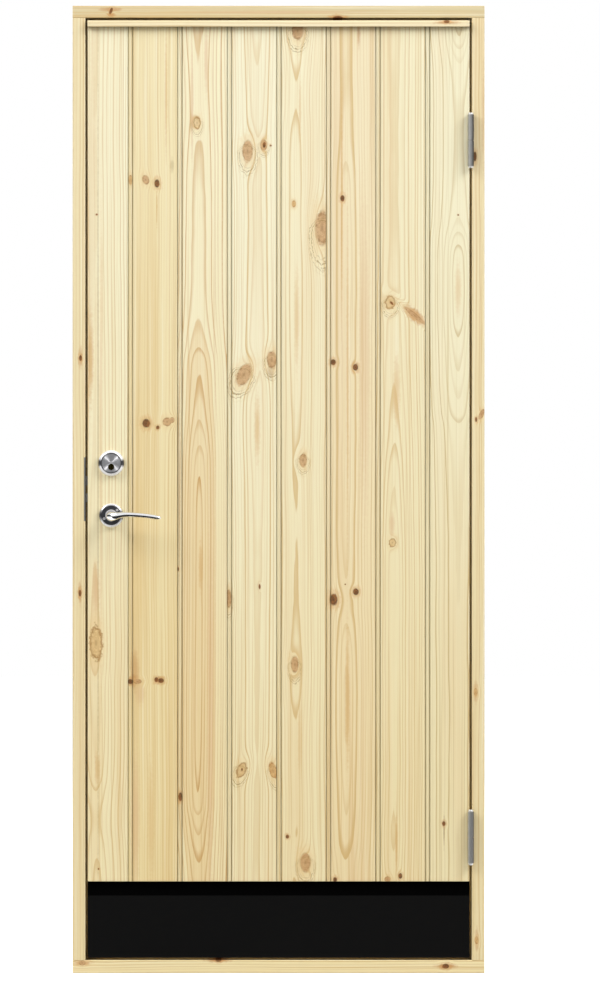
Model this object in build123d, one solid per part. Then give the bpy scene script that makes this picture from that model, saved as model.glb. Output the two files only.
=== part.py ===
from build123d import *
import math
import os

# A shed door: a leaf of beaded boards hung in a rebated pine frame, opening outward.
# Seen from outside, X runs from the lock jamb to the hinge jamb, Y from the outside in
# and Z up. The origin is the middle of the sill's underside. Sizes are in millimetres.

# Frame
FRAME_WIDTH = 890.0
FRAME_HEIGHT = 2090.0
FRAME_DEPTH = 92.0
JAMB_FACE = 27.5
HEAD_FACE = 26.0
SILL_FACE = 28.0
STOP_WIDTH = 14.5
ARRIS = 1.5
FIXING_RADIUS = 7.0
FIXING_OUTER_SPACING = 1810.0
FIXING_INNER_SPACING = 810.0
FIXING_FROM_FRONT = 30.0

# Gaps round the leaf, and the seal on the stops
SIDE_GAP = 5.0
TOP_GAP = 6.0
SILL_GAP = 5.0
STOP_GAP = 5.0
SEAL_HEIGHT = 4.0
SEAL_WIDTH = 8.0
SEAL_INSET = 1.0
SEAL_END_GAP = 0.5

# Leaf
BOARD_THICKNESS = 15.0
CORE_THICKNESS = 28.0
BACK_PANEL_THICKNESS = 6.0
STILE_WIDTH = 95.0
TOP_RAIL_HEIGHT = 95.0
BOTTOM_RAIL_LAP = 50.0

# Boards
BOARD_PITCH = 107.0
FIRST_BOARD = 87.0
SEAM_GAP = 0.6
SEAM_CHAMFER = 1.2
BEAD_WIDTH = 9.4
BEAD_DROP = 2.4
QUIRK_FLOOR = 1.4
QUIRK_RISE = 0.8
TONGUE_LENGTH = 5.0
TONGUE_CLEARANCE = 0.25

# Drip strip along the top and kick plate along the foot
STRIP_HEIGHT = 13.0
STRIP_DEPTH = 10.0
STRIP_ROUND = 4.0
DRIP_WIDTH = 2.5
DRIP_DEPTH = 2.0
KICK_FOLD_HEIGHT = 134.4
BOARD_END_HEIGHT = 165.5
KICK_RECESS = 5.0
KICK_SHEET = 1.5
KICK_END_GAP = 1.0

# Lift-off hinges
HINGE_FROM_TOP = 259.0
HINGE_FROM_BOTTOM = 260.5
KNUCKLE_RADIUS = 6.9
KNUCKLE_STANDOFF = 1.1
KNUCKLE_LENGTH = 55.2
KNUCKLE_GAP = 0.6
KNUCKLE_CHAMFER = 0.5
CAP_RADIUS = 5.7
CAP_LENGTH = 4.5
PIN_RADIUS = 4.0
PIN_LENGTH = 40.0
PIN_CLEARANCE = 0.05
PIN_END_GAP = 2.0
HINGE_PLATE = 2.5
HINGE_PLATE_DEPTH = 32.0
PLATE_CORNER = 6.0

# Lock
LEVER_HEIGHT = 989.0
CYLINDER_RISE = 113.0
BACKSET = 51.0
FACEPLATE_LENGTH = 235.0
FACEPLATE_WIDTH = 22.0
FACEPLATE_THICKNESS = 3.0
CASE_DEPTH = 78.0
CASE_THICKNESS = 15.0
CASE_MARGIN = 42.0
BOLT_CLEARANCE = 0.3
DEAD_BOLT_RISE = 18.5
DEAD_BOLT_HEIGHT = 20.0
DEAD_BOLT_THICKNESS = 12.0
DEAD_BOLT_THROW = 20.0
DEAD_BOLT_TAIL = 38.0
LATCH_DROP = 18.5
LATCH_HEIGHT = 19.0
LATCH_THICKNESS = 12.0
LATCH_THROW = 13.0
LATCH_TAIL = 36.0
STRIKE_LENGTH = 138.0
STRIKE_THICKNESS = 3.0
STRIKE_DEPTH = 46.0
STRIKE_CLEARANCE = 1.5
POCKET_END_GAP = 4.0

# Cylinder and its rings
RING_RADIUS = 28.0
RING_HEIGHT = 11.0
DISC_RADIUS = 20.6
DISC_CLEARANCE = 0.4
DISC_RECESS = 0.6
DISC_THICKNESS = 6.0
CYLINDER_RADIUS = 18.0
CYLINDER_CLEARANCE = 0.3
PLUG_RADIUS = 6.7
PLUG_CLEARANCE = 0.08
PLUG_DROP = 8.4
PLUG_LENGTH = 22.0
PLUG_RECESS = 0.5
KEYWAY_WIDTH = 2.2
KEYWAY_HEIGHT = 8.0
KEYWAY_DEPTH = 16.0

# Lever handle
ROSETTE_RADIUS = 26.0
ROSETTE_HEIGHT = 9.0
ROSETTE_RIM = 5.0
ROSETTE_DISH = 1.6
NECK_RADIUS = 9.0
NECK_CLEARANCE = 0.3
COLLAR_RADIUS = 12.6
COLLAR_HEIGHT = 4.5
LEVER_REACH = 108.0
LEVER_STANDOFF = 46.0
LEVER_BEND = 16.0
ROOT_HALF_HEIGHT = 9.2
ROOT_DROP = 2.4
GRIP_HALF_HEIGHT = 5.1
GRIP_HALF_DEPTH = 4.6
GRIP_RISE = 1.6
GRIP_DROOP = 4.2
SPINDLE_SIDE = 8.0
SPINDLE_CLEARANCE = 0.1
SOCKET_DEPTH = 20.0
SPINDLE_BORE_RADIUS = 10.0
FACE_CLEARANCE = 0.5

# Positions that follow from the sizes above
FRONT = -FRAME_DEPTH / 2
LEAF_WIDTH = FRAME_WIDTH - 2 * JAMB_FACE - 2 * SIDE_GAP
LEAF_LEFT = -LEAF_WIDTH / 2
LEAF_RIGHT = LEAF_WIDTH / 2
LEAF_BOTTOM = SILL_FACE + SILL_GAP
LEAF_TOP = FRAME_HEIGHT - HEAD_FACE - TOP_GAP
BOARD_BACK = FRONT + BOARD_THICKNESS
CORE_BACK = BOARD_BACK + CORE_THICKNESS
LEAF_BACK = CORE_BACK + BACK_PANEL_THICKNESS
STOP_FACE = LEAF_BACK + STOP_GAP + SEAL_HEIGHT
JAMB_WIDTH = JAMB_FACE + STOP_WIDTH
BOARD_END = LEAF_BOTTOM + BOARD_END_HEIGHT
BOTTOM_RAIL_TOP = BOARD_END + BOTTOM_RAIL_LAP
TOP_RAIL_FOOT = LEAF_TOP - TOP_RAIL_HEIGHT
LOCK_X = LEAF_LEFT + BACKSET
LOCK_Y = BOARD_BACK + CORE_THICKNESS / 2
LOCK_MIDDLE = LEVER_HEIGHT + CYLINDER_RISE / 2
CYLINDER_HEIGHT = LEVER_HEIGHT + CYLINDER_RISE
HINGE_X = LEAF_RIGHT + SIDE_GAP / 2
HINGE_Y = FRONT - KNUCKLE_RADIUS - KNUCKLE_STANDOFF
HINGE_HEIGHTS = {
    "upper": LEAF_TOP - HINGE_FROM_TOP,
    "lower": LEAF_BOTTOM + HINGE_FROM_BOTTOM,
}


def block(x0, x1, y0, y1, z0, z1):
    """A square-edged bar between two corners."""
    middle = Pos((x0 + x1) / 2, (y0 + y1) / 2, (z0 + z1) / 2)
    return middle * Box(x1 - x0, y1 - y0, z1 - z0)


def upright(face, z0, z1):
    """A bar of one cross-section, drawn in X and Y, standing from z0 to z1."""
    return extrude(Plane.XY.offset(z0) * face, z1 - z0)


def crosswise(face, x0, x1):
    """A bar of one cross-section, drawn in Y and Z, lying from x0 to x1."""
    return extrude(Plane.YZ.offset(x0) * face, x1 - x0)


def outline(*points):
    """A flat face with straight sides."""
    return make_face(Polyline(*points, close=True))


def turned(face):
    """A piece turned about the Y axis from a half-section drawn as (radius, depth)."""
    return revolve(face, Axis.Y)


def bore(radius, x, z, y0, y1):
    """A round cutter along Y."""
    return Pos(x, (y0 + y1) / 2, z) * Rot(90, 0, 0) * Cylinder(radius, y1 - y0)


def edge_plate(x0, x1, y0, y1, z0, z1, corner):
    """A plate lying in an edge, with its two inner corners rounded."""
    plate = block(x0, x1, y0, y1, z0, z1)
    inner = plate.edges().filter_by(Axis.X).sort_by(Axis.Y)[-2:]
    return fillet(inner, corner)


def rebated(face_width):
    """The corner points of a frame member: across from its outer face, and depth from its front."""
    wide = face_width + STOP_WIDTH
    stop = STOP_FACE - FRONT
    return [
        (0, ARRIS),
        (ARRIS, 0),
        (face_width - ARRIS, 0),
        (face_width, ARRIS),
        (face_width, stop),
        (wide - ARRIS, stop),
        (wide, stop + ARRIS),
        (wide, FRAME_DEPTH - ARRIS),
        (wide - ARRIS, FRAME_DEPTH),
        (0, FRAME_DEPTH),
    ]


def jamb(side, cutters):
    """One upright frame member; side is -1 at the lock and +1 at the hinges."""
    points = [(side * (FRAME_WIDTH / 2 - across), FRONT + depth) for across, depth in rebated(JAMB_FACE)]
    bar = upright(outline(*points), SILL_FACE, FRAME_HEIGHT - HEAD_FACE)
    for spacing in (FIXING_OUTER_SPACING, FIXING_INNER_SPACING):
        for height in (FRAME_HEIGHT / 2 - spacing / 2, FRAME_HEIGHT / 2 + spacing / 2):
            middle = side * (FRAME_WIDTH - JAMB_FACE) / 2
            hole = Rot(0, 90, 0) * Cylinder(FIXING_RADIUS, 2 * JAMB_FACE)
            bar -= Pos(middle, FRONT + FIXING_FROM_FRONT, height) * hole
    for cutter in cutters:
        bar -= cutter
    return bar


def cross_member(face_width, base, upward):
    """The head or the sill: full width, with its stop only between the jambs' stops."""
    points = [(FRONT + depth, base + upward * across) for across, depth in rebated(face_width)]
    bar = crosswise(outline(*points), -FRAME_WIDTH / 2, FRAME_WIDTH / 2)
    low = base + upward * face_width
    high = low + upward * (STOP_WIDTH + 1)
    for side in (-1, 1):
        inner = side * (FRAME_WIDTH / 2 - JAMB_WIDTH)
        outer = side * (FRAME_WIDTH / 2 + 1)
        x0, x1 = min(inner, outer), max(inner, outer)
        bar -= block(x0, x1, FRONT - 1, -FRONT + 1, min(low, high), max(low, high))
    return bar


def seal_section():
    """A bulb seal's half-round section, standing off a stop towards the leaf."""
    half = SEAL_WIDTH / 2
    base = SEAL_HEIGHT / 3
    sides = Polyline((-half, -base), (-half, 0), (half, 0), (half, -base))
    crown = ThreePointArc((-half, -base), (0, -SEAL_HEIGHT), (half, -base))
    return make_face([sides, crown])


def weather_seal():
    """Four seal strips on the stops, just short of one another at the corners."""
    inner_x = FRAME_WIDTH / 2 - JAMB_WIDTH + SEAL_INSET
    inner_top = FRAME_HEIGHT - HEAD_FACE - STOP_WIDTH + SEAL_INSET
    inner_foot = SILL_FACE + STOP_WIDTH - SEAL_INSET
    half = SEAL_WIDTH / 2
    foot = inner_foot + SEAL_END_GAP
    top = inner_top - SEAL_END_GAP
    strips = []
    for side in (-1, 1):
        strips.append(upright(Pos(side * (inner_x + half), STOP_FACE) * seal_section(), foot, top))
    reach = inner_x + SEAL_WIDTH
    for height in (inner_top + half, inner_foot - half):
        section = Pos(STOP_FACE, height) * Rot(0, 0, -90) * seal_section()
        strips.append(crosswise(section, -reach, reach))
    return Compound(children=[solid for strip in strips for solid in strip.solids()])


def board_section(left, right, first, last):
    """A board's section: bead, quirk and tongue on the left edge, groove on the right edge."""
    tongue_front = 0.42 * BOARD_THICKNESS
    tongue_back = 0.72 * BOARD_THICKNESS
    x0 = left if first else left + SEAM_GAP / 2
    x1 = right if last else right - SEAM_GAP / 2
    curves = []
    if first:
        start = (x0, FRONT + ARRIS)
        points = [start, (x0 + ARRIS, FRONT)]
    else:
        start = (x0, FRONT + BEAD_DROP)
        crown = (x0 + BEAD_WIDTH / 2, FRONT)
        foot = x0 + BEAD_WIDTH
        curves.append(ThreePointArc(start, crown, (foot, FRONT + BEAD_DROP)))
        points = [
            (foot, FRONT + BEAD_DROP),
            (foot + QUIRK_FLOOR, FRONT + BEAD_DROP),
            (foot + QUIRK_FLOOR + QUIRK_RISE, FRONT),
        ]
    if last:
        points += [(x1 - ARRIS, FRONT), (x1, FRONT + ARRIS), (x1, BOARD_BACK)]
    else:
        groove = x1 - TONGUE_LENGTH
        points += [
            (x1 - SEAM_CHAMFER, FRONT),
            (x1, FRONT + SEAM_CHAMFER),
            (x1, FRONT + tongue_front - TONGUE_CLEARANCE),
            (groove, FRONT + tongue_front - TONGUE_CLEARANCE),
            (groove, FRONT + tongue_back + TONGUE_CLEARANCE),
            (x1, FRONT + tongue_back + TONGUE_CLEARANCE),
            (x1, BOARD_BACK),
        ]
    points.append((x0, BOARD_BACK))
    if not first:
        tip = x0 - TONGUE_LENGTH
        points += [
            (x0, FRONT + tongue_back),
            (tip, FRONT + tongue_back),
            (tip, FRONT + tongue_front),
            (x0, FRONT + tongue_front),
        ]
    points.append(start)
    curves.append(Polyline(*points))
    return make_face(curves)


def boards(cutters):
    """The upright boards of the leaf's face, the outer two ripped to width."""
    whole = max(1, round((LEAF_WIDTH - FIRST_BOARD) / BOARD_PITCH))
    seams = [LEAF_LEFT + FIRST_BOARD + n * BOARD_PITCH for n in range(whole)]
    edges = [LEAF_LEFT] + seams + [LEAF_RIGHT]
    made = {}
    for n in range(whole + 1):
        section = board_section(edges[n], edges[n + 1], n == 0, n == whole)
        board = upright(section, BOARD_END, LEAF_TOP)
        reach = board.bounding_box()
        for cutter in cutters:
            box = cutter.bounding_box()
            if box.max.X > reach.min.X and box.min.X < reach.max.X:
                board -= cutter
        made[f"board_{n + 1}"] = board
    return made


def kick_lines():
    """The kick plate's front and back lines, as depth behind the leaf's front and height up it."""
    lip_top = BOARD_END_HEIGHT - KICK_END_GAP
    lip_back = BOARD_THICKNESS - KICK_SHEET - 0.5
    lean = math.atan2(lip_back - KICK_RECESS, lip_top - KICK_FOLD_HEIGHT)
    front = [(KICK_RECESS, 0), (KICK_RECESS, KICK_FOLD_HEIGHT), (lip_back, lip_top)]
    mitre = KICK_FOLD_HEIGHT - KICK_SHEET * math.tan(lean / 2)
    back_top = (lip_back + KICK_SHEET * math.cos(lean), lip_top - KICK_SHEET * math.sin(lean))
    back = [(KICK_RECESS + KICK_SHEET, 0), (KICK_RECESS + KICK_SHEET, mitre), back_top]
    return front, back


def on_leaf(points):
    """Moves depth and height points from the leaf's lower front edge into place."""
    return [(FRONT + depth, LEAF_BOTTOM + height) for depth, height in points]


def kick_plate():
    """A folded sheet: an upright face, and a lip that leans back under the board ends."""
    front, back = kick_lines()
    return crosswise(outline(*on_leaf(front + back[::-1])), LEAF_LEFT, LEAF_RIGHT)


def bottom_rail(cutters):
    """The leaf's foot: thick behind the kick plate, bevelled, and thinner behind the boards."""
    back = kick_lines()[1]
    top = BOTTOM_RAIL_TOP - LEAF_BOTTOM
    rear = BOARD_THICKNESS + CORE_THICKNESS
    lap = BOARD_END_HEIGHT - KICK_END_GAP
    points = back + [(BOARD_THICKNESS, lap), (BOARD_THICKNESS, top), (rear, top), (rear, 0)]
    rail = crosswise(outline(*on_leaf(points)), LEAF_LEFT, LEAF_RIGHT)
    for cutter in cutters:
        rail -= cutter
    return rail


def drip_strip():
    """A moulding along the leaf's top, rounded above and grooved below so that water falls clear."""
    foot = LEAF_TOP - STRIP_HEIGHT
    nose = FRONT - STRIP_DEPTH
    middle = STRIP_ROUND * (1 - math.sqrt(0.5))
    round_start = (nose, LEAF_TOP - STRIP_ROUND)
    round_end = (nose + STRIP_ROUND, LEAF_TOP)
    crown = ThreePointArc(round_start, (nose + middle, LEAF_TOP - middle), round_end)
    groove = nose + DRIP_WIDTH
    sides = Polyline(
        round_end,
        (FRONT, LEAF_TOP),
        (FRONT, foot),
        (groove + DRIP_WIDTH, foot),
        (groove + DRIP_WIDTH, foot + DRIP_DEPTH),
        (groove, foot + DRIP_DEPTH),
        (groove, foot),
        (nose, foot),
        round_start,
    )
    return crosswise(make_face([crown, sides]), LEAF_LEFT, LEAF_RIGHT)


def hinge_plate(side, middle):
    """A hinge half's plate; side is -1 for the leaf half, above, and +1 for the frame half, below."""
    near = HINGE_X + side * SIDE_GAP / 2
    far = near + side * HINGE_PLATE
    z0 = middle - side * KNUCKLE_GAP / 2
    z1 = z0 - side * KNUCKLE_LENGTH
    y1 = FRONT + HINGE_PLATE_DEPTH
    corners = (min(near, far), max(near, far), HINGE_Y, y1, min(z0, z1), max(z0, z1))
    return edge_plate(*corners, PLATE_CORNER)


def hinge_half(side, middle):
    """A plate with its knuckle: the leaf's is bored for the pin, and the frame's carries it."""
    z0 = middle - side * KNUCKLE_GAP / 2
    z1 = z0 - side * KNUCKLE_LENGTH
    knuckle = Pos(HINGE_X, HINGE_Y, (z0 + z1) / 2) * Cylinder(KNUCKLE_RADIUS, KNUCKLE_LENGTH)
    knuckle = chamfer(knuckle.edges().filter_by(GeomType.CIRCLE), KNUCKLE_CHAMFER)
    half = hinge_plate(side, middle) + knuckle
    if side < 0:
        depth = PIN_LENGTH + PIN_END_GAP
        half -= Pos(HINGE_X, HINGE_Y, z0 + depth / 2) * Cylinder(PIN_RADIUS + PIN_CLEARANCE, depth)
        return half
    pin = Pos(HINGE_X, HINGE_Y, z0 + PIN_LENGTH / 2) * Cylinder(PIN_RADIUS, PIN_LENGTH)
    pin = chamfer(pin.edges().sort_by(Axis.Z)[-1], PIN_RADIUS / 4)
    return half + pin


def hinge_cap(side, middle):
    """The button that closes the outer end of a knuckle, domed at its free end."""
    base = middle - side * (KNUCKLE_GAP / 2 + KNUCKLE_LENGTH)
    cap = Pos(HINGE_X, HINGE_Y, base - side * CAP_LENGTH / 2) * Cylinder(CAP_RADIUS, CAP_LENGTH)
    free_end = cap.edges().filter_by(GeomType.CIRCLE).sort_by(Axis.Z)[0 if side > 0 else -1]
    return fillet(free_end, CAP_LENGTH / 2)


def dead_bolt():
    """The dead bolt, thrown, with its nose edges eased."""
    half = DEAD_BOLT_THICKNESS / 2
    middle = LOCK_MIDDLE + DEAD_BOLT_RISE
    z0 = middle - DEAD_BOLT_HEIGHT / 2
    x0 = LEAF_LEFT - DEAD_BOLT_THROW
    bolt = block(x0, LEAF_LEFT + DEAD_BOLT_TAIL, LOCK_Y - half, LOCK_Y + half, z0, z0 + DEAD_BOLT_HEIGHT)
    return chamfer(bolt.faces().sort_by(Axis.X)[0].edges(), 1.0)


def latch_bolt():
    """The latch bolt, thrown, with the side that meets the strike on closing bevelled."""
    half = LATCH_THICKNESS / 2
    tip = LEAF_LEFT - LATCH_THROW
    tail = LEAF_LEFT + LATCH_TAIL
    section = outline(
        (tip, LOCK_Y - half),
        (tip, LOCK_Y - half + 2),
        (tip + 0.8 * LATCH_THROW, LOCK_Y + half),
        (tail, LOCK_Y + half),
        (tail, LOCK_Y - half),
    )
    z0 = LOCK_MIDDLE - LATCH_DROP - LATCH_HEIGHT / 2
    return upright(section, z0, z0 + LATCH_HEIGHT)


def bolt_channels(clearance, x0, dead_end, latch_end):
    """Cutters that follow the two bolts with a clearance all round."""
    sizes = [
        (DEAD_BOLT_RISE, DEAD_BOLT_HEIGHT, DEAD_BOLT_THICKNESS, dead_end),
        (-LATCH_DROP, LATCH_HEIGHT, LATCH_THICKNESS, latch_end),
    ]
    cutters = []
    for rise, height, thickness, end in sizes:
        half_y = thickness / 2 + clearance
        half_z = height / 2 + clearance
        middle = LOCK_MIDDLE + rise
        low, high = min(x0, end), max(x0, end)
        cutters.append(block(low, high, LOCK_Y - half_y, LOCK_Y + half_y, middle - half_z, middle + half_z))
    return cutters


def lock_body():
    """The outside shape of the mortise lock: a round-ended faceplate and the case behind it."""
    face = Pos(LOCK_Y, LOCK_MIDDLE) * SlotOverall(FACEPLATE_LENGTH, FACEPLATE_WIDTH, rotation=90)
    plate = crosswise(face, LEAF_LEFT, LEAF_LEFT + FACEPLATE_THICKNESS)
    half = CASE_THICKNESS / 2
    z0 = LEVER_HEIGHT - CASE_MARGIN
    z1 = CYLINDER_HEIGHT + CASE_MARGIN
    x0 = LEAF_LEFT + FACEPLATE_THICKNESS
    return plate + block(x0, LEAF_LEFT + CASE_DEPTH, LOCK_Y - half, LOCK_Y + half, z0, z1)


def mortise_lock(spindle_hole, cylinder_hole):
    """The lock, hollowed where its bolts slide and where spindle and cylinder pass."""
    lock = lock_body()
    dead_end = LEAF_LEFT + DEAD_BOLT_TAIL + DEAD_BOLT_THROW + POCKET_END_GAP
    latch_end = LEAF_LEFT + LATCH_TAIL + LATCH_THROW + POCKET_END_GAP
    for cutter in bolt_channels(BOLT_CLEARANCE, LEAF_LEFT - 1, dead_end, latch_end):
        lock -= cutter
    return lock - spindle_hole - cylinder_hole


def strike_body():
    """The strike plate's outside shape, let into the jamb from its front face back."""
    x1 = LEAF_LEFT - SIDE_GAP
    z0 = LOCK_MIDDLE - STRIKE_LENGTH / 2
    corners = (x1 - STRIKE_THICKNESS, x1, FRONT, FRONT + STRIKE_DEPTH, z0, z0 + STRIKE_LENGTH)
    return edge_plate(*corners, PLATE_CORNER)


def strike_pockets():
    """Cutters for the strike's two openings and the jamb's pockets behind them."""
    x0 = LEAF_LEFT - SIDE_GAP + 1
    dead_end = LEAF_LEFT - DEAD_BOLT_THROW - POCKET_END_GAP
    latch_end = LEAF_LEFT - LATCH_THROW - POCKET_END_GAP
    return bolt_channels(STRIKE_CLEARANCE, x0, dead_end, latch_end)


def strike_plate():
    """The strike plate with its two openings."""
    plate = strike_body()
    for pocket in strike_pockets():
        plate -= pocket
    return plate


def cylinder_ring():
    """A turned collar round the cylinder, standing on a face at depth 0 towards -Y."""
    inner = DISC_RADIUS + DISC_CLEARANCE
    lip = inner + 1.2
    land = RING_HEIGHT / 4
    shoulder = (lip + 0.66 * (RING_RADIUS - lip), -land - 0.66 * (RING_HEIGHT - land))
    slope = ThreePointArc((RING_RADIUS, -land), shoulder, (lip, -RING_HEIGHT))
    sides = Polyline((lip, -RING_HEIGHT), (inner, -RING_HEIGHT), (inner, 0), (RING_RADIUS, 0), (RING_RADIUS, -land))
    return turned(make_face([slope, sides]))


def cylinder_blank(depth):
    """A cylinder's disc and body, running back through a face at depth 0."""
    front = -(RING_HEIGHT - DISC_RECESS)
    shoulder = front + DISC_THICKNESS
    return turned(
        outline(
            (0, front),
            (DISC_RADIUS - 0.6, front),
            (DISC_RADIUS, front + 0.6),
            (DISC_RADIUS, shoulder),
            (CYLINDER_RADIUS, shoulder),
            (CYLINDER_RADIUS, depth),
            (0, depth),
        )
    )


def keyway(front):
    """The key's slot, cut into a plug from its front."""
    half = KEYWAY_WIDTH / 2
    z0 = -PLUG_DROP - KEYWAY_HEIGHT / 2
    return block(-half, half, front - 1, front + KEYWAY_DEPTH, z0, z0 + KEYWAY_HEIGHT)


def outer_cylinder():
    """The outer cylinder, bored for its key plug."""
    front = -(RING_HEIGHT - DISC_RECESS)
    depth = BOARD_THICKNESS + CORE_THICKNESS / 2 - FACE_CLEARANCE
    plug_end = front + PLUG_RECESS + PLUG_LENGTH + FACE_CLEARANCE
    return cylinder_blank(depth) - bore(PLUG_RADIUS + PLUG_CLEARANCE, 0, -PLUG_DROP, front - 1, plug_end)


def inner_cylinder():
    """The inner cylinder, whose plug stays put: a ring groove and a keyway in its disc."""
    front = -(RING_HEIGHT - DISC_RECESS)
    depth = BACK_PANEL_THICKNESS + CORE_THICKNESS / 2 - FACE_CLEARANCE
    groove = bore(PLUG_RADIUS + 0.4, 0, -PLUG_DROP, front - 1, front + 0.6)
    groove -= bore(PLUG_RADIUS, 0, -PLUG_DROP, front - 2, front + 1)
    return cylinder_blank(depth) - groove - keyway(front)


def key_plug():
    """The plug that the key turns."""
    front = -(RING_HEIGHT - DISC_RECESS) + PLUG_RECESS
    plug = bore(PLUG_RADIUS, 0, -PLUG_DROP, front, front + PLUG_LENGTH)
    plug = chamfer(plug.edges().filter_by(GeomType.CIRCLE).sort_by(Axis.Y)[0], 0.5)
    return plug - keyway(front)


def rosette():
    """A round rose with a rolled rim and a sunk face, standing on a face at depth 0 towards -Y."""
    inner = NECK_RADIUS + NECK_CLEARANCE
    crest = ROSETTE_RADIUS - ROSETTE_RIM * 0.6
    rim_foot = ROSETTE_RADIUS - ROSETTE_RIM
    side = ROSETTE_HEIGHT * 0.45
    dish = ROSETTE_HEIGHT - ROSETTE_DISH
    shoulder = (crest + 0.66 * (ROSETTE_RADIUS - crest), -side - 0.66 * (ROSETTE_HEIGHT - side))
    roll = ThreePointArc((ROSETTE_RADIUS, -side), shoulder, (crest, -ROSETTE_HEIGHT))
    sides = Polyline(
        (crest, -ROSETTE_HEIGHT),
        (rim_foot, -dish),
        (inner, -dish),
        (inner, 0),
        (ROSETTE_RADIUS, 0),
        (ROSETTE_RADIUS, -side),
    )
    return turned(make_face([roll, sides]))


def lever_station(x, out, rise, heading, half_depth, half_height):
    """An oval section of the lever; heading turns from straight out, 0, to along the leaf, 90."""
    angle = math.radians(heading)
    along = Vector(math.sin(angle), -math.cos(angle), 0)
    return Plane(Vector(x, -out, rise), Vector(0, 0, 1), along) * Ellipse(half_height, half_depth)


def lever():
    """A lever: a round neck and collar at the rose, and a grip that tapers from its root and bows down."""
    collar_foot = ROSETTE_HEIGHT - ROSETTE_DISH + FACE_CLEARANCE
    neck_end = collar_foot + COLLAR_HEIGHT
    turn = LEVER_STANDOFF - LEVER_BEND
    diagonal = LEVER_BEND * math.sqrt(0.5)
    reach = LEVER_REACH
    out = LEVER_STANDOFF
    deep = GRIP_HALF_DEPTH
    tall = GRIP_HALF_HEIGHT
    root = ROOT_HALF_HEIGHT
    stations = [
        lever_station(0, neck_end, 0, 0, NECK_RADIUS - 0.2, NECK_RADIUS),
        lever_station(0, turn, -0.5 * ROOT_DROP, 0, NECK_RADIUS - 0.6, root),
        lever_station(LEVER_BEND - diagonal, turn + diagonal, -ROOT_DROP, 45, NECK_RADIUS - 1.4, root),
        lever_station(LEVER_BEND, out, -0.2 * ROOT_DROP, 90, deep + 1.5, 0.5 * (root + tall)),
        lever_station(0.25 * reach, out, 0.8 * GRIP_RISE, 90, deep + 0.9, tall + 0.8),
        lever_station(0.40 * reach, out, GRIP_RISE, 90, deep + 0.4, tall + 0.2),
        lever_station(0.53 * reach, out - 0.2, 0.5 * GRIP_RISE, 91, deep + 0.2, tall + 0.1),
        lever_station(0.66 * reach, out - 0.6, -0.1 * GRIP_DROOP, 92, deep, tall),
        lever_station(0.79 * reach, out - 1.2, -0.5 * GRIP_DROOP, 93, deep - 0.1, tall - 0.1),
        lever_station(0.91 * reach, out - 2, -GRIP_DROOP, 94, deep - 0.4, tall - 0.5),
        lever_station(0.97 * reach, out - 2.6, -GRIP_DROOP - 1, 94, deep - 1.4, tall - 1.8),
        lever_station(reach, out - 2.9, -GRIP_DROOP - 1.4, 94, 1.2, 1.4),
    ]
    shank = loft(stations[:2])
    grip = loft(stations[1:])
    ease = COLLAR_HEIGHT / 3
    neck = turned(
        outline(
            (0, -FACE_CLEARANCE),
            (NECK_RADIUS, -FACE_CLEARANCE),
            (NECK_RADIUS, -collar_foot),
            (COLLAR_RADIUS, -collar_foot),
            (COLLAR_RADIUS, ease - neck_end),
            (COLLAR_RADIUS - ease, -neck_end),
            (0, -neck_end),
        )
    )
    side = SPINDLE_SIDE + 2 * SPINDLE_CLEARANCE
    socket = Pos(0, -SOCKET_DEPTH / 2, 0) * Box(side, SOCKET_DEPTH, side)
    return neck + shank + grip - socket


def back_of(piece):
    """Turns a piece that stands on the leaf's front so that it stands on the leaf's back."""
    return mirror(piece, Plane.XZ)


at_lever_front = Pos(LOCK_X, FRONT, LEVER_HEIGHT)
at_lever_back = Pos(LOCK_X, LEAF_BACK, LEVER_HEIGHT)
at_cylinder_front = Pos(LOCK_X, FRONT, CYLINDER_HEIGHT)
at_cylinder_back = Pos(LOCK_X, LEAF_BACK, CYLINDER_HEIGHT)

spindle_bore = bore(SPINDLE_BORE_RADIUS, LOCK_X, LEVER_HEIGHT, FRONT - 1, LEAF_BACK + 1)
cylinder_bore = bore(CYLINDER_RADIUS + CYLINDER_CLEARANCE, LOCK_X, CYLINDER_HEIGHT, FRONT - 1, LEAF_BACK + 1)
case_spindle_hole = bore(SPINDLE_SIDE * 0.87, LOCK_X, LEVER_HEIGHT, FRONT, LEAF_BACK)
leaf_mortises = [hinge_plate(-1, middle) for middle in HINGE_HEIGHTS.values()]
jamb_mortises = [hinge_plate(1, middle) for middle in HINGE_HEIGHTS.values()]
lock_cutters = [spindle_bore, cylinder_bore]

parts = {
    "head": cross_member(HEAD_FACE, FRAME_HEIGHT, -1),
    "sill": cross_member(SILL_FACE, 0, 1),
    "lock_jamb": jamb(-1, [strike_body(), *strike_pockets()]),
    "hinge_jamb": jamb(1, jamb_mortises),
    "weather_seal": weather_seal(),
    "strike_plate": strike_plate(),
    **boards(lock_cutters + leaf_mortises),
    "top_rail": block(LEAF_LEFT, LEAF_RIGHT, BOARD_BACK, CORE_BACK, TOP_RAIL_FOOT, LEAF_TOP),
    "bottom_rail": bottom_rail(leaf_mortises),
    "drip_strip": drip_strip(),
    "kick_plate": kick_plate(),
    "mortise_lock": mortise_lock(case_spindle_hole, cylinder_bore),
    "dead_bolt": dead_bolt(),
    "latch_bolt": latch_bolt(),
    "outer_cylinder_ring": at_cylinder_front * cylinder_ring(),
    "inner_cylinder_ring": at_cylinder_back * back_of(cylinder_ring()),
    "outer_cylinder": at_cylinder_front * outer_cylinder(),
    "inner_cylinder": at_cylinder_back * back_of(inner_cylinder()),
    "key_plug": at_cylinder_front * key_plug(),
    "outer_rosette": at_lever_front * rosette(),
    "inner_rosette": at_lever_back * back_of(rosette()),
    "outer_lever": at_lever_front * lever(),
    "inner_lever": at_lever_back * back_of(lever()),
}

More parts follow.
